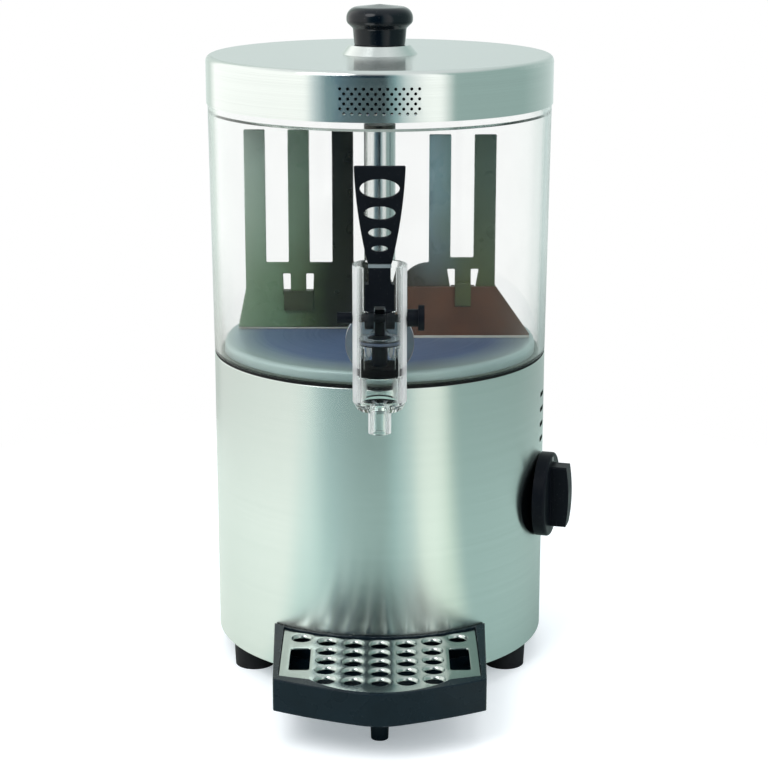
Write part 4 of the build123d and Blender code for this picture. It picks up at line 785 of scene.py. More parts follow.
# The stirrer's colours are painted light, shade and reflections: lit, shaded and bluish reflecting
# tines side by side, darker on the lower part.
STIRRER_PLASTIC = Moulded(
    "stirrer_plastic", (0.060, 0.068, 0.034), (0.036, 0.040, 0.022), (0.13, 0.14, 0.09),
    rough=(0.22, 0.36), change=(0.262, 0.345),
    across=((-0.105, (0.32, 0.46, 0.375)), (-0.082, (0.31, 0.45, 0.365)),
            (-0.066, (0.19, 0.32, 0.225)), (-0.050, (0.14, 0.26, 0.17)),
            (-0.034, (0.002, 0.002, 0.001)), (0.02, (0.02, 0.02, 0.01)),
            (0.036, (0.28, 0.48, 0.53)), (0.050, (0.21, 0.36, 0.35)),
            (0.066, (0.09, 0.14, 0.10)), (0.078, (0.08, 0.13, 0.10)),
            (0.105, (0.06, 0.09, 0.02))),
    low_painted_light=((-0.105, (0.14, 0.26, 0.145)), (-0.07, (0.10, 0.19, 0.10)),
                (-0.052, (0.05, 0.085, 0.03)), (-0.036, (0.006, 0.009, 0.001)),
                (-0.015, (0.006, 0.004, 0.001)), (0.02, (0.04, 0.035, 0.03)),
                (0.04, (0.048, 0.045, 0.036)), (0.06, (0.085, 0.10, 0.04)),
                (0.105, (0.04, 0.07, 0.02))))
# The pale edge colour with strong edge marks paints a highlight along the scraper's edges, as well
# as rubbing.
SCRAPER_BROWN = Moulded(
    "scraper_brown", (0.115, 0.050, 0.028), (0.078, 0.035, 0.020), (0.5, 0.42, 0.36),
    rough=(0.4, 0.55), depth=0.000006, wear_and_sheen=0.8)
LIP_SILICONE = Moulded(
    "lip_silicone", (0.42, 0.43, 0.40), (0.33, 0.34, 0.31), (0.5, 0.5, 0.48),
    rough=(0.35, 0.5), grain=1500.0, depth=0.000006, flesh=0.1)
SCRAPER_OLIVE = Moulded(
    "scraper_olive", (0.030, 0.044, 0.016), (0.020, 0.030, 0.011), (0.08, 0.10, 0.05),
    rough=(0.4, 0.55), depth=0.000006, wear_and_sheen=0.2, dust=0.0)
LID_RING_SILICONE = Moulded(
    "lid_ring_silicone", (0.55, 0.58, 0.58), (0.48, 0.51, 0.51), (0.65, 0.68, 0.68), flesh=0.3)
THERMOSTAT_PLASTIC = Moulded(
    "thermostat_plastic", (0.16, 0.125, 0.08), (0.12, 0.092, 0.06), (0.28, 0.24, 0.18))
CLEAR_TANK = Clear("clear_tank", (0.985, 0.992, 0.988), gleam=0.25)
# The tap's sides carry painted light: a pale diffuse layer on the faces that look left and right.
CLEAR_TAP = Clear(
    "clear_tap", (0.97, 0.985, 0.98), rough=(0.02, 0.06), gleam=0.15, frost=0.45, side_light=0.42)
CLEAR_RUBBER = Moulded(
    "clear_rubber", (0.22, 0.28, 0.33), (0.18, 0.235, 0.28), (0.4, 0.45, 0.47), flesh=0.2)
SMOKE_CLEAR = Clear("smoke_clear", (0.80, 0.85, 0.90), rough=(0.05, 0.12), gleam=0.3)


def add_object(name: str, data: bpy.types.ID) -> bpy.types.Object:
    """Make an object of a mesh, lamp or camera and link it to the scene.

    Args:
        name: the object's name.
        data: what it shows.

    Returns:
        The new object.
    """
    made = bpy.data.objects.new(name, data)
    bpy.context.scene.collection.objects.link(made)
    return made


def circle_points(middle: Point, radius: float, steps: int, height: float = 0.0) -> list[Place]:
    """Points of a level circle.

    Args:
        middle: the circle's middle in plan.
        radius: its radius.
        steps: how many points.
        height: where it lies.

    Returns:
        The points in order.
    """
    turns = [2 * math.pi * step / steps for step in range(steps)]
    return [(middle[0] + radius * math.cos(turn), middle[1] + radius * math.sin(turn), height)
            for turn in turns]


def arc_points(start: Point, crest: Point, end: Point, steps: int) -> list[Point]:
    """Points of the arc through three points, both ends included.

    Args:
        start: first point.
        crest: a point on the way.
        end: last point.
        steps: pieces that the arc is cut into.

    Returns:
        The points in order.
    """
    (ax, ay), (bx, by), (cx, cy) = start, crest, end
    twice = 2 * (ax * (by - cy) + bx * (cy - ay) + cx * (ay - by))
    squares = [x * x + y * y for x, y in (start, crest, end)]
    x = (squares[0] * (by - cy) + squares[1] * (cy - ay) + squares[2] * (ay - by)) / twice
    y = (squares[0] * (cx - bx) + squares[1] * (ax - cx) + squares[2] * (bx - ax)) / twice
    first, middle, last = (math.atan2(py - y, px - x) for px, py in (start, crest, end))
    turn = (last - first) % (2 * math.pi)
    if (middle - first) % (2 * math.pi) > turn:
        turn -= 2 * math.pi
    radius = math.hypot(ax - x, ay - y)
    angles = [first + turn * step / steps for step in range(steps + 1)]
    return [(x + radius * math.cos(angle), y + radius * math.sin(angle)) for angle in angles]


def inset(outline: list[Point], by: float) -> list[Point]:
    """Move an outline that runs anticlockwise inwards.

    Args:
        outline: corners in order.
        by: distance; negative moves it outwards.

    Returns:
        As many corners, moved.
    """
    moved = []
    around = zip(outline[-1:] + outline[:-1], outline, outline[1:] + outline[:1])
    for before, here, after in around:
        come = (Vector(here) - Vector(before)).normalized()
        leave = (Vector(after) - Vector(here)).normalized()
        inward = Vector((-come.y - leave.y, come.x + leave.x)).normalized()
        reach = by / inward.dot(Vector((-come.y, come.x)))
        moved.append(tuple(Vector(here) + inward * reach))
    return moved


class Solid:
    """Closed mesh in the making, with the moves that several pieces share; millimetres."""

    def __init__(self) -> None:
        """Start an empty mesh."""
        self.work = bmesh.new()

    def loop(self, points: list[Place]) -> Loop:
        """Place one closed loop of vertices."""
        return [self.work.verts.new(Vector(point) * MM) for point in points]

    def chain(self, loops: list[Loop]) -> None:
        """Join each loop to the next by a band of faces.

        Args:
            loops: loops of as many vertices each.
        """
        for first, second in zip(loops, loops[1:]):
            for here in range(len(first)):
                after = (here + 1) % len(first)
                self.work.faces.new((first[here], first[after], second[after], second[here]))

    def tube(self, loops: list[Loop]) -> None:
        """Join loops in a row and close both ends.

        Args:
            loops: loops of as many vertices each.
        """
        self.chain(loops)
        for end in (loops[0], loops[-1]):
            self.work.faces.new(end)

    def fill(self, rim: Loop, holes: list[Loop], axes: tuple[int, int] = (0, 1)) -> None:
        """Close a flat face inside a rim and outside its holes.

        Args:
            rim: outer loop.
            holes: inner loops, none with a hollow side.
            axes: the two axes that span the face.
        """
        points, edges, owners = [], [], []
        for number, ring in enumerate((rim, *holes)):
            start, count = len(points), len(ring)
            points += ring
            owners += [number] * count
            edges += [(start + here, start + (here + 1) % count) for here in range(count)]
        flat = [Vector((vertex.co[axes[0]], vertex.co[axes[1]])) for vertex in points]
        _, _, triangles, sources, *_ = geometry.delaunay_2d_cdt(flat, edges, [], INSIDE, MM * MM)
        for triangle in triangles:
            corners = [sources[corner][0] for corner in triangle]
            rings = {owners[corner] for corner in corners}
            if len(rings) > 1 or rings == {0}:
                self.work.faces.new([points[corner] for corner in corners])

    def plate(self, rings: list[list[Point]], depths: Span, across: int, side: float = 1.0) -> None:
        """Raise a plate from an outline and its holes.

        Args:
            rings: outline first, then holes, each as (out, up).
            depths: where the two faces lie.
            across: axis the depths are measured on, 0 or 1.
            side: 1 as drawn, -1 turned half round the upright axis.
        """
        faces = []
        for depth in depths:
            loops = []
            for ring in rings:
                flat = [(depth, out) if across == 0 else (out, depth) for out, _ in ring]
                loops.append(self.loop(
                    [(side * x, side * y, up) for (x, y), (_, up) in zip(flat, ring)]))
            self.fill(loops[0], loops[1:], (1 - across, 2))
            faces.append(loops)
        for near, far in zip(*faces):
            self.chain([near, far])

    def lathe(self, profile: tuple[Point, ...], middle: Point = (0.0, 0.0), hollow: bool = True,
              steps: int = 64) -> None:
        """Turn a profile about an upright axis.

        Args:
            profile: (radius, height) round the section.
            middle: the axis in plan.
            hollow: close the section on itself; otherwise its ends are capped.
            steps: faces round the axis.
        """
        rings = [self.loop(circle_points(middle, radius, steps, height))
                 for radius, height in profile]
        if hollow:
            self.chain([*rings, rings[0]])
        else:
            self.tube(rings)

    def piece(self, name: str, body: str, slot: str, finish: Finish, edge: float = 0.0) -> Piece:
        """Hand the mesh over as a piece of the dispenser.

        Args:
            name: the piece's name.
            body: body it rides on.
            slot: the record's material slot; not used.
            finish: its finish.
            edge: width of the rounding of its sharp edges, in millimetres.

        Returns:
            The new object.
        """
        bmesh.ops.recalc_face_normals(self.work, faces=self.work.faces[:])
        mesh = bpy.data.meshes.new(name)
        self.work.to_mesh(mesh)
        self.work.free()
        mesh.polygons.foreach_set("use_smooth", [True] * len(mesh.polygons))
        mesh.materials.append(finish.material())
        made = add_object(name, mesh)
        if edge:
            rounded = made.modifiers.new("rounded", "BEVEL")
            rounded.width, rounded.segments = edge * MM, BEVEL_SEGMENTS
            rounded.limit_method, rounded.angle_limit = "ANGLE", SHARP
            made.modifiers.new("flat_faces", "WEIGHTED_NORMAL").keep_sharp = True
        else:
            mesh.set_sharp_from_angle(angle=SHARP)
        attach(made, body)
        return made


def finished(**finishes: Finish) -> dict[str, Finish]:
    """Field that gives each named node its finish."""
    return field(default_factory=lambda: finishes)


@dataclass
class Assembly:
    """Sub-assembly of CAD nodes that stay, with the finish of each."""

    body: str = "base"
    finishes: dict[str, Finish] = finished()

    def build(self) -> list[Piece]:
        """Make the sub-assembly's own pieces; plain ones have none."""
        return []

    def dress(self) -> list[str]:
        """Put each node's finish on.

        Returns:
            Names of the dressed nodes.
        """
        for name, finish in self.finishes.items():
            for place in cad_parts[name].material_slots:
                place.material = finish.material()
        return list(self.finishes)


@dataclass
class BaseCasing(Assembly):
    """Casing, base plate and feet; the lapped joint of the rolled casing is built here."""

    finishes: dict[str, Finish] = finished(
        base_shell=CASING_STEEL, base_plate=SHEET_STEEL, rubber_feet=BLACK_RUBBER,
        foot_screws=BRIGHT_STEEL, foot_nuts=BRIGHT_STEEL)
    radius: float = 115.0
    seam_turn: float = 128.0
    seam_width: float = 9.0
    seam_proud: float = 0.4
    seam_root: float = 0.3
    seam_bevel: tuple[float, float] = (0.3, 0.15)
    seam_ends: Span = (18.0, 215.6)
    weld_radius: float = 2.0
    weld_proud: float = 0.25
    weld_pitch: float = 24.0
    weld_start: float = 0.7
    weld_steps: int = 20
    weld_section: tuple[Point, ...] = (
        (1.0, -0.2), (1.0, 0.0), (0.8, 0.6), (0.45, 0.92), (0.12, 1.0))

    def build(self) -> list[Piece]:
        """Make the lapped joint of the rolled casing and its spot welds."""
        return [self.seam(), self.welds()]

    def seam(self) -> Piece:
        """Lay the strip up the casing's rear.

        Returns:
            The strip.
        """
        solid = Solid()
        half = self.seam_width / 2
        low, high = self.seam_ends
        wide, deep = self.seam_bevel
        root, outer = self.radius - self.seam_root, self.radius + self.seam_proud
        section = [(half, root), (half, outer - deep), (half - wide, outer)]
        section += [(half * share, outer) for share in (0.5, 0.0, -0.5)]
        section += [(-half + wide, outer), (-half, outer - deep), (-half, root)]
        levels = ((low, deep), (low + wide, 0.0), (high - wide, 0.0), (high, deep))
        loops = []
        for height, sunk in levels:
            turns = [(math.radians(self.seam_turn) + along / self.radius, radius - sunk)
                     for along, radius in section]
            loops.append(solid.loop(
                [(r * math.cos(turn), r * math.sin(turn), height) for turn, r in turns]))
        solid.tube(loops)
        return solid.piece("casing_seam", self.body, "casing_steel", CASING_STEEL)

    def welds(self) -> Piece:
        """Raise a row of spot welds along the strip.

        Returns:
            The welds, in one piece.
        """
        solid = Solid()
        turn = math.radians(self.seam_turn)
        out = Vector((math.cos(turn), math.sin(turn), 0.0))
        along = Vector((-out.y, out.x, 0.0))
        low, high = self.seam_ends
        face = self.radius + self.seam_proud
        for number in range(int((high - low) / self.weld_pitch)):
            height = low + (number + self.weld_start) * self.weld_pitch
            middle = out * face + Vector((0.0, 0.0, height))
            loops = []
            for share, proud in self.weld_section:
                rim = circle_points((0.0, 0.0), share * self.weld_radius, self.weld_steps)
                lift = out * (proud * self.weld_proud)
                loops.append(solid.loop(
                    [middle + lift + along * x + Vector((0.0, 0.0, y)) for x, y, _ in rim]))
            solid.tube(loops)
        return solid.piece("seam_welds", self.body, "casing_steel", SHEET_STEEL)


@dataclass
class HeatingDeck(Assembly):
    """Pan, seal, spreader, element and cutout."""

    finishes: dict[str, Finish] = finished(
        heating_pan=PAN_STEEL, tank_seal=TANK_SEAL_RUBBER, heat_spreader=ALLOY,
        heating_element=ELEMENT_SHEATH, safety_cutout=THERMOSTAT_PLASTIC)


@dataclass
class StirrerDrive(Assembly):
    """Motor, column and the parts between them."""

    finishes: dict[str, Finish] = finished(
        centre_column=BRIGHT_STEEL, column_bushes=BUSH_BRASS, motor_standoffs=SHEET_STEEL,
        motor_plate=SHEET_STEEL, gear_motor=MOTOR_PAINT, motor_screws=BRIGHT_STEEL)


@dataclass(frozen=True)
class Arm:
    """One stirrer arm, in millimetres out from the axis and up from the counter."""

    name: str
    side: float
    foot: tuple[Point, ...]
    tines: tuple[float, ...]
    web: float
    shoulder: tuple[Point, ...]
    pinch: float

    def outline(self, width: float, top: float) -> list[Point]:
        """Draw the arm: along its foot, over the tines from the outermost in, down the shoulder.

        Args:
            width: width of a tine.
            top: height of the tines' ends.

        Returns:
            The outline's corners in order.
        """
        corners = list(self.foot)
        for start in self.tines:
            end = start + width
            corners += [(end, self.web), (end, top), (start, top), (start, self.web)]
        # the outermost tine rises straight from the foot, so its outer root is left out
        corners.remove((self.tines[0] + width, self.web))
        return [*corners, *self.shoulder]

    def slots(self, centre: float, half: float, width: float, height: float,
              drop: float) -> list[list[Point]]:
        """Draw the two clip slots beside the rib.

        Args:
            centre: middle of the rib.
            half: half of the rib's width.
            width: width of a slot at its top.
            height: height of a slot.
            drop: gap bottom to the slot's top.

        Returns:
            The slots' outlines.
        """
        top = self.web - drop
        low = top - height
        made = []
        for side in (-1, 1):
            near, far = centre + side * half, centre + side * (half + width)
            made.append([(near, low), (far - side * self.pinch, low), (far, top), (near, top)])
        return made


@dataclass(frozen=True)
class Strip:
    """Straight strip on a stirrer arm: its section as (across, up) and how far it runs."""

    name: str
    section: tuple[Point, ...]
    span: Span
    slot: str
    finish: Finish


@dataclass
class Stirrer(Assembly):
    """Sleeve, arms and scrapers that turn; the arms are built here with moulded edges."""

    body: str = "stirrer"
    finishes: dict[str, Finish] = finished(
        motor_shaft=BRIGHT_STEEL, shaft_coupling=ALLOY, drive_shaft=BRIGHT_STEEL,
        stirrer_sleeve=BRIGHT_STEEL, stirrer_cap=STIRRER_PLASTIC,
        long_scraper=SCRAPER_OLIVE, short_scraper=SCRAPER_BROWN)
    depths: Span = (-11.0, -14.0)
    tine_width: float = 14.8
    tine_top: float = 368.0
    rib: tuple[float, float] = (57.0, 5.5)
    slot: tuple[float, float, float] = (5.3, 15.0, 8.0)
    edge: float = 0.8
    strip_edge: float = 0.2
    strips: tuple[Strip, ...] = (
        Strip("wiping_lip_long",
              ((11.0, 227.5), (13.9, 227.5), (13.9, 228.55), (11.0, 228.55)),
              (-100.0, -19.0), "scraper_silicone", LIP_SILICONE),
        Strip("wiping_lip_short",
              ((-16.7, 227.5), (-15.83, 227.5), (-15.83, 229.2), (-16.2, 229.2), (-16.7, 228.4)),
              (19.0, 103.0), "scraper_silicone", LIP_SILICONE),
        Strip("blade_tongue",
              ((-17.0, 250.2), (-16.4, 249.6), (-15.83, 250.2), (-15.83, 263.6),
               (-14.03, 263.6), (-14.03, 266.6), (-16.0, 266.6), (-17.0, 265.6)),
              (51.6, 62.4), "stirrer_plastic", STIRRER_PLASTIC),
    )
    hub: tuple[Point, ...] = (
        (9.6, 228.6), (13.2, 228.6), (13.8, 228.9), (14.0, 229.5), (14.0, 263.6), (13.7, 264.3),
        (13.0, 264.6), (11.4, 264.6), (11.0, 264.4), (10.8, 264.0), (10.8, 231.0), (9.6, 231.0))
    arms: tuple[Arm, ...] = (
        Arm("stirrer_arm_long", -1.0,
            ((0.0, 275.0), (0.0, 228.6), (100.0, 228.6), (100.0, 230.1), (94.3, 256.5)),
            (79.5, 48.9, 18.3), 275.0, (), 0.5),
        Arm("stirrer_arm_short", 1.0,
            ((0.0, 264.6), (0.0, 228.6), (103.0, 228.6), (103.0, 230.1), (79.0, 264.4)),
            (64.2, 33.6), 283.4,
            tuple(arc_points((33.6, 280.0), (25.95, 278.5), (14.0, 264.6), 8)), 2.6),
    )

    def build(self) -> list[Piece]:
        """Make the hub, the two arms and the strips on them.

        Returns:
            The pieces in that order.
        """
        solid = Solid()
        solid.lathe(self.hub)
        made = [solid.piece("stirrer_hub", self.body, "stirrer_plastic", STIRRER_PLASTIC)]
        for arm in self.arms:
            solid = Solid()
            rings = [arm.outline(self.tine_width, self.tine_top), *arm.slots(*self.rib, *self.slot)]
            solid.plate(rings, self.depths, 1, arm.side)
            made.append(
                solid.piece(arm.name, self.body, "stirrer_plastic", STIRRER_PLASTIC, self.edge))
        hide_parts("stirrer_paddles")
        for strip in self.strips:
            solid = Solid()
            solid.plate([list(strip.section)], strip.span, 0)
            made.append(
                solid.piece(strip.name, self.body, strip.slot, strip.finish, self.strip_edge))
        return made


@dataclass
class Tank(Assembly):
    """Clear tank."""

    body: str = "tank"
    finishes: dict[str, Finish] = finished(tank=CLEAR_TANK)


@dataclass
class Lid(Assembly):
    """Steel lid with its knob and ring."""

    body: str = "lid"
    finishes: dict[str, Finish] = finished(
        lid_shell=LID_STEEL, lid_ring=LID_RING_SILICONE, vent_baffle=BLACK_PLASTIC,
        lid_knob=KNOB_GLOSS, lid_screw=BRIGHT_STEEL)


@dataclass
class Tap(Assembly):
    """Tap body, lever and piston; the piston and its seal are built here."""

    body: str = "tank"
    finishes: dict[str, Finish] = finished(
        tap_gasket=CLEAR_RUBBER, tap_washer=CLEAR_RUBBER, tap_nut=TAP_NUT_PLASTIC,
        tap_body=CLEAR_TAP, pivot_pin=BLACK_PLASTIC, pivot_knob=BLACK_PLASTIC,
        tap_lever=BLACK_PLASTIC, lever_collar=COLLAR_PLASTIC, lever_handle=BLACK_PLASTIC,
        lever_pin=BRIGHT_STEEL, piston_ring=SMOKE_PLASTIC)
    piston_body: str = "tap_piston"
    axis: Point = (0.0, -148.0)
    stem: tuple[Point, ...] = (
        (4.6, 235.8), (5.0, 236.2), (5.0, 252.6), (5.3, 254.2), (6.2, 255.3), (7.4, 255.9),
        (7.4, 258.6), (6.4, 259.4), (5.0, 259.6))
    disc: tuple[Point, ...] = (
        (7.4, 255.8), (13.6, 255.8), (14.0, 256.1), (14.0, 256.6), (12.25, 256.6),
        (12.25, 258.6), (14.0, 258.6), (14.0, 259.1), (13.6, 259.4), (7.4, 259.4))
    seal: tuple[Point, ...] = (
        (5.0, 235.75), (12.8, 235.75), (13.7, 235.9), (14.2, 236.3), (14.45, 237.2),
        (14.45, 240.7), (14.2, 241.6), (13.7, 242.0), (12.8, 242.2), (8.0, 242.2), (6.6, 241.6),
        (5.0, 241.6))
    tongue: tuple[float, float, float, float] = (3.4, 13.6, 259.3, 276.2)
    tongue_half: float = 3.2
    pin_slot: tuple[float, float, float, float] = (4.67, 9.8, 269.75, 273.38)
    tongue_edge: float = 0.4

    def build(self) -> list[Piece]:
        """Make the piston's stem, tongue, disc and seal.

        Returns:
            The pieces in that order.
        """
        stem, tongue, disc, seal = (Solid() for _ in range(4))
        stem.lathe(self.stem, self.axis, hollow=False)
        disc.lathe(self.disc, self.axis)
        seal.lathe(self.seal, self.axis)
        tongue.plate([self._oblong(*self.tongue), self._oblong(*self.pin_slot)],
                     (-self.tongue_half, self.tongue_half), 0)
        body = self.piston_body
        made = [
            stem.piece("piston_stem", body, "black_plastic", BLACK_PLASTIC),
            tongue.piece("piston_tongue", body, "black_plastic", BLACK_PLASTIC, self.tongue_edge),
            disc.piece("piston_disc", body, "smoke_plastic", SMOKE_CLEAR),
            seal.piece("piston_lip_seal", body, "black_rubber", SEAL_RUBBER),
        ]
        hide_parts("tap_piston")
        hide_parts("piston_seal")
        return made

    def _oblong(self, near: float, far: float, low: float, high: float) -> list[Point]:
        """Upright oblong behind the tap's axis, between two distances and two heights."""
        near, far = self.axis[1] + near, self.axis[1] + far
        return [(near, low), (far, low), (far, high), (near, high)]


@dataclass
class Thermostat(Assembly):
    """Dial and what it turns."""

    finishes: dict[str, Finish] = finished(
        thermostat_body=THERMOSTAT_PLASTIC, thermostat_nut=BRIGHT_STEEL,
        thermostat_spindle=BRIGHT_STEEL, thermostat_dial=BLACK_PLASTIC, dial_pointer=PALE_PLASTIC)


@dataclass
class PowerInlet(Assembly):
    """Gland, switch and terminals at the rear."""

    finishes: dict[str, Finish] = finished(
        cable_gland=BLACK_PLASTIC, gland_nut=BLACK_PLASTIC, switch_housing=BLACK_PLASTIC,
        switch_rocker=BLACK_PLASTIC, terminal_block=THERMOSTAT_PLASTIC)


@dataclass
class DripTray(Assembly):
    """Tray and its foot; the pressed grid is built here."""

    body: str = "drip_tray"
    finishes: dict[str, Finish] = finished(drip_tray=TRAY_PLASTIC, tray_foot=TRAY_PLASTIC)
    grid_body: str = "drip_grid"
    grid_top: float = 46.5
    rear_radius: float = 118.7
    rear_steps: int = 28
    side: Point = (64.2, -180.7)
    shoulder: Point = (44.35, -186.7)
    bow: float = -207.2
    bow_steps: int = 24
    hem: tuple[Point, ...] = (
        (0.6, 0.0), (0.3, -0.08), (0.08, -0.3), (0.0, -0.6), (0.0, -2.3), (0.5, -2.3),
        (0.5, -1.0), (0.75, -0.6))
    lip: tuple[Point, ...] = (
        (7.4, 0.0), (7.15, -0.08), (6.8, -0.36), (6.3, -0.88), (5.9, -1.4), (5.68, -1.9),
        (5.6, -2.4), (6.05, -2.4), (6.15, -1.9), (6.5, -1.35), (6.95, -0.9), (7.2, -0.68),
        (7.35, -0.6))
    lip_steps: int = 36
    slot_lip: tuple[Point, ...] = (
        (-0.5, 0.0), (-0.2, -0.1), (0.0, -0.4), (0.0, -1.4), (-0.6, -1.4), (-0.6, -0.8),
        (-0.9, -0.6))
    first_row: float = 127.6
    row_pitch: float = 15.2
    pitch: float = 17.2
    rows: tuple[int, ...] = (3, 2, 2, 2, 2)
    finger: tuple[float, float] = (13.0, 35.6)
    finger_corner: float = 1.6
    finger_corner_steps: int = 4
    finger_middle: Point = (51.6, -152.1)

    def build(self) -> list[Piece]:
        """Make the pressed grid: a hemmed sheet with dished drain holes and two finger slots.

        Returns:
            The grid alone.
        """
        solid = Solid()
        edges = [self._follow(solid, self._rim(), self.hem)]
        for middle in self._drains():
            edges.append([
                solid.loop(circle_points(middle, radius, self.lip_steps, self.grid_top + drop))
                for radius, drop in self.lip])
        for side in (-1, 1):
            edges.append(self._follow(solid, self._finger_slot(side), self.slot_lip))
        for loops in edges:
            solid.chain(loops)
        for layer in (0, -1):
            solid.fill(edges[0][layer], [loops[layer] for loops in edges[1:]])
        made = solid.piece("pressed_grid", self.grid_body, "grid_chrome", GRID_CHROME)
        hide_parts("drip_grid")
        return [made]

    def _rim(self) -> list[Point]:
        """Plan of the grid's edge, anticlockwise from its rear right corner.

        Returns:
            The edge's points in order.
        """
        half, flank = self.side
        corner = -math.sqrt(self.rear_radius ** 2 - half ** 2)
        rear = arc_points(
            (half, corner), (0.0, -self.rear_radius), (-half, corner), self.rear_steps)
        left = (-self.shoulder[0], self.shoulder[1])
        bow = arc_points(left, (0.0, self.bow), self.shoulder, self.bow_steps)
        return [*rear, (-half, flank), *bow, self.side]

    def _drains(self) -> list[Point]:
        """Middles of the drain holes, in arcs about the tank's axis.

        Returns:
            The middles, row by row.
        """
        made = []
        for row, last in enumerate(self.rows):
            reach = self.first_row + row * self.row_pitch
            for column in range(-last, last + 1):
                across = column * self.pitch
                made.append((across, -math.sqrt(reach ** 2 - across ** 2)))
        return made

    def _finger_slot(self, side: int) -> list[Point]:
        """Plan of one finger slot, anticlockwise.

        Args:
            side: 1 for the right one, -1 for the left one.

        Returns:
            The slot's points in order.
        """
        x, y = side * self.finger_middle[0], self.finger_middle[1]
        wide, long = (size / 2 - self.finger_corner for size in self.finger)
        points = []
        for number, (right, up) in enumerate(((1, 1), (-1, 1), (-1, -1), (1, -1))):
            for step in range(self.finger_corner_steps + 1):
                turn = math.pi / 2 * (number + step / self.finger_corner_steps)
                points.append((x + right * wide + self.finger_corner * math.cos(turn),
                               y + up * long + self.finger_corner * math.sin(turn)))
        return points

    def _follow(self, solid: Solid, outline: list[Point], section: tuple[Point, ...]) -> list[Loop]:
        """Lay loops along an outline, one for each (inset, drop) of a section."""
        return [solid.loop([(x, y, self.grid_top + drop) for x, y in inset(outline, by)])
                for by, drop in section]


@dataclass(frozen=True)
class Lamp:
    """Soft lamp that looks at the tank; metres and watts."""

    name: str
    place: Place
    size: tuple[float, float]
    power: float
    aim: Place = (0.0, 0.0, 0.2)

    def hang(self) -> None:
        """Hang the lamp, out of sight of shiny and clear pieces."""
        data = bpy.data.lights.new(self.name, "AREA")
        data.shape = "RECTANGLE"
        data.size, data.size_y = self.size
        data.energy = self.power
        made = add_object(self.name, data)
        made.location = self.place
        way = Vector(self.aim) - Vector(self.place)
        made.rotation_euler = way.to_track_quat("-Z", "Y").to_euler()
        made.visible_glossy = False
        made.visible_transmission = False


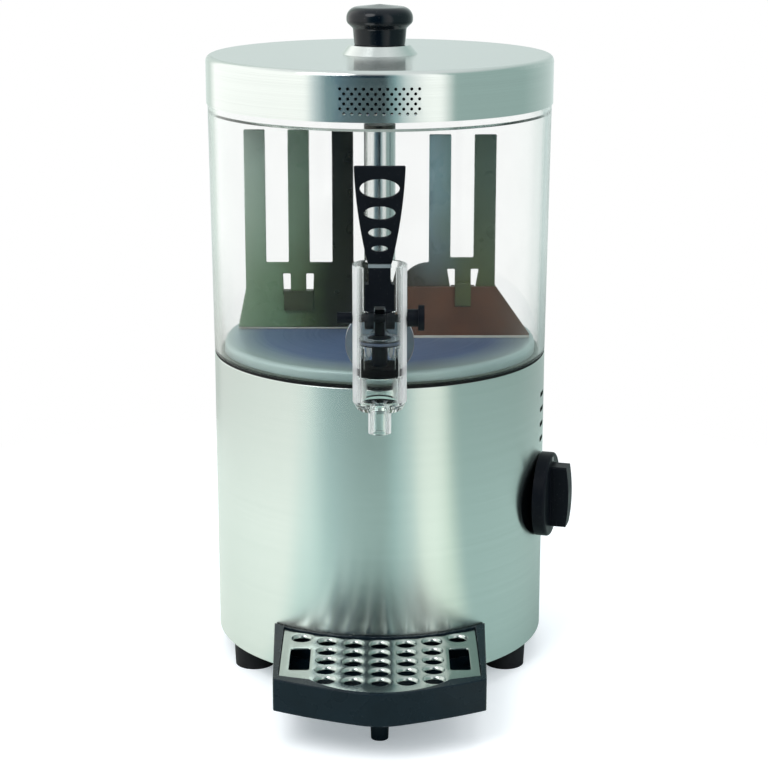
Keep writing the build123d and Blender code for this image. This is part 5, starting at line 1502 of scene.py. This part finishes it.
@dataclass
class Studio:
    """Floor, lamps, surroundings and camera."""

    FULL_TURN: ClassVar[Span] = (-180.0, 180.0)

    distance: float = 1.348
    height: float = 0.5492
    pitch: float = 0.2412
    focal_pixels: float = 1982.5
    shift: tuple[float, float] = (0.0056, -0.05)
    floor_radius: float = 0.62
    floor_steps: int = 96
    floor_fade: Span = (0.30, 0.60)
    floor_colour: Colour = (0.84, 0.85, 0.86)
    floor_lift: Colour = (0.86, 0.95, 1.0)
    floor_lift_strength: float = 0.34
    # Painted light and shade of the floor as mirrors see it, by degrees to the right of the front;
    # the world's ground below the walls takes it too.
    floor_light_tones: Stops = (
        (-180.0, (0.62, 0.66, 0.63)), (-150.0, (0.66, 0.70, 0.66)), (-58.0, (0.69, 0.72, 0.675)),
        (-46.0, (0.445, 0.575, 0.547)), (18.0, (0.42, 0.55, 0.525)), (26.0, (0.675, 0.745, 0.655)),
        (42.0, (0.675, 0.745, 0.655)), (52.0, (0.34, 0.445, 0.43)), (180.0, (0.42, 0.50, 0.48)))
    wall_tones: Stops = (
        (-180.0, (0.79, 0.88, 0.86)), (-150.0, (0.72, 0.82, 0.76)), (-138.0, (1.33, 1.34, 1.30)),
        (-49.0, (1.37, 1.38, 1.33)), (-42.0, (0.66, 0.76, 0.78)), (-34.0, (0.15, 0.26, 0.29)),
        (-28.0, (0.07, 0.15, 0.205)), (-23.0, (0.035, 0.085, 0.125)), (-10.0, (0.0, 0.02, 0.04)),
        (3.0, (0.0, 0.012, 0.028)), (10.0, (0.24, 0.40, 0.42)), (17.0, (0.76, 0.86, 0.85)),
        (22.0, (0.94, 1.0, 0.99)), (28.0, (1.18, 1.21, 1.19)), (34.0, (1.33, 1.35, 1.31)),
        (40.0, (1.33, 1.35, 1.31)), (50.0, (0.37, 0.51, 0.48)), (108.0, (0.36, 0.50, 0.47)),
        (180.0, (0.79, 0.88, 0.86)))
    wall_top: Span = (0.55, 0.95)
    wall_foot: Span = (-0.19, -0.24)
    ceiling: Colour = (0.84, 0.88, 0.88)
    even_light: Colour = (0.62, 0.64, 0.66)
    window_aim: Place = (-0.48, -0.52, 0.70)
    window_edge: Span = (0.955, 0.975)
    window_glare: float = 4.0
    lamps: tuple[Lamp, ...] = (
        Lamp("key", (-0.9, -1.1, 1.7), (1.2, 1.2), 26.0),
        Lamp("fill", (1.2, -0.9, 1.2), (1.0, 1.2), 10.0),
        Lamp("top", (0.0, 0.3, 2.0), (1.6, 1.6), 12.0),
    )

    def camera(self) -> None:
        """Stand the camera where the photograph was taken."""
        lens = bpy.data.cameras.new("camera")
        lens.sensor_width = SENSOR_WIDTH
        lens.lens = self.focal_pixels / IMAGE_SIDE * SENSOR_WIDTH
        lens.shift_x, lens.shift_y = self.shift
        made = add_object("camera", lens)
        made.location = (0.0, -self.distance, self.height)
        made.rotation_euler = (math.pi / 2 - self.pitch, 0.0, 0.0)
        bpy.context.scene.camera = made

    @staticmethod
    def _looked_at(graph: Graph) -> Socket:
        """Tell rays straight from the eye, through clear pieces too, from those that bounced.

        Args:
            graph: graph of the floor or the world.

        Returns:
            Socket that is 1 for straight rays and 0 for the others.
        """
        path = graph.node("LightPath").outputs
        straight = graph.math("MAXIMUM", path["Is Camera Ray"], path["Is Transmission Ray"])
        bounces = graph.math("ADD", path["Glossy Depth"], path["Diffuse Depth"])
        return graph.math("MULTIPLY", straight, graph.math("LESS_THAN", bounces, 0.5))

    @staticmethod
    def _mirrored(graph: Graph) -> Socket:
        """1 for rays that have left a shiny face."""
        return graph.math("GREATER_THAN", graph.node("LightPath").outputs["Glossy Depth"], 0.5)

    def _round_ramp(self, graph: Graph, heading: Socket, tones: Stops) -> Socket:
        """Tone that changes round the object.

        Args:
            graph: graph of the floor or the world.
            heading: direction or place to read the tone at.
            tones: degrees to the right of the front, each with its tone.

        Returns:
            The tone's socket.
        """
        turn = graph.math("DIVIDE", graph.bearing(graph.axes(heading)), 2 * math.pi)
        return graph.ramp(graph.math("ADD", turn, 0.5), tones, self.FULL_TURN)

    def _paper(self) -> bpy.types.Material:
        """Paint the floor: pale for the eye, fading into the backdrop, and in mirrors with painted
        light and shade by direction round the object.

        Returns:
            The floor's material.
        """
        made = bpy.data.materials.new("floor_paper")
        graph = Graph.fresh(made)
        place = graph.node("TexCoord").outputs["Object"]
        # painted light and shade, for mirrored rays only
        mirrored_floor_light = self._round_ramp(graph, place, self.floor_light_tones)
        colour = graph.blend(self._mirrored(graph), self.floor_colour, mirrored_floor_light)
        paper = graph.node("BsdfDiffuse", {"Color": colour})
        seen = self._looked_at(graph)
        lift = graph.node("Emission", {
            "Color": self.floor_lift,
            "Strength": graph.math("MULTIPLY", seen, self.floor_lift_strength),
        })
        both = graph.node("AddShader", {0: paper.outputs[0], 1: lift.outputs[0]})
        away = graph.node("VectorMath", {0: place}, operation="LENGTH").outputs["Value"]
        faded = graph.math("MULTIPLY", graph.spread(away, self.floor_fade), seen)
        glow = graph.node("Emission", {"Color": WHITE})
        surface = graph.mix(faded, both.outputs[0], glow.outputs[0])
        graph.node("OutputMaterial", {"Surface": surface})
        return made

    def floor(self) -> None:
        """Lay a round pale floor."""
        mesh = bpy.data.meshes.new("floor")
        work = bmesh.new()
        bmesh.ops.create_circle(
            work, cap_ends=True, segments=self.floor_steps, radius=self.floor_radius)
        work.to_mesh(mesh)
        work.free()
        mesh.materials.append(self._paper())
        made = add_object("floor", mesh)

    def surroundings(self) -> None:
        """White backdrop for the eye; a soft-box room of light and dark walls for reflections."""
        world = bpy.data.worlds.new("studio")
        bpy.context.scene.world = world
        graph = Graph.fresh(world)
        heading = graph.node("TexCoord").outputs["Generated"]
        height = graph.axes(heading)["Z"]
        walls = self._round_ramp(graph, heading, self.wall_tones)
        room = graph.blend(graph.spread(height, self.wall_top), walls, self.ceiling)
        ground = self._round_ramp(graph, heading, self.floor_light_tones)
        room = graph.blend(graph.spread(height, self.wall_foot), room, ground)
        window = graph.facing(heading, tuple(Vector(self.window_aim).normalized()))
        glare = (self.window_glare, self.window_glare, self.window_glare)
        room = graph.blend(graph.spread(window, self.window_edge), room, glare)
        unseen = graph.blend(self._mirrored(graph), self.even_light, room)
        shown = graph.blend(self._looked_at(graph), unseen, WHITE)
        light = graph.node("Background", {"Color": shown})
        graph.node("OutputWorld", {"Surface": light.outputs[0]})

    def build(self) -> None:
        """Set the whole studio up."""
        self.camera()
        self.floor()
        self.surroundings()
        for lamp in self.lamps:
            lamp.hang()
        bpy.context.scene.view_settings.view_transform = "Standard"


def main() -> None:
    """Dress the dispenser, sub-assembly by sub-assembly, and set the studio up."""
    logging.basicConfig(level=logging.INFO, format="%(message)s")
    for kind in (BaseCasing, HeatingDeck, StirrerDrive, Stirrer, Tank, Lid, Tap, Thermostat,
                 PowerInlet, DripTray):
        assembly = kind()
        for piece in assembly.build():
            LOG.info("%s: made %s", kind.__name__, piece.name)
        for name in assembly.dress():
            LOG.info("%s: dressed %s", kind.__name__, name)
    Studio().build()


if __name__ == "__main__":
    main()
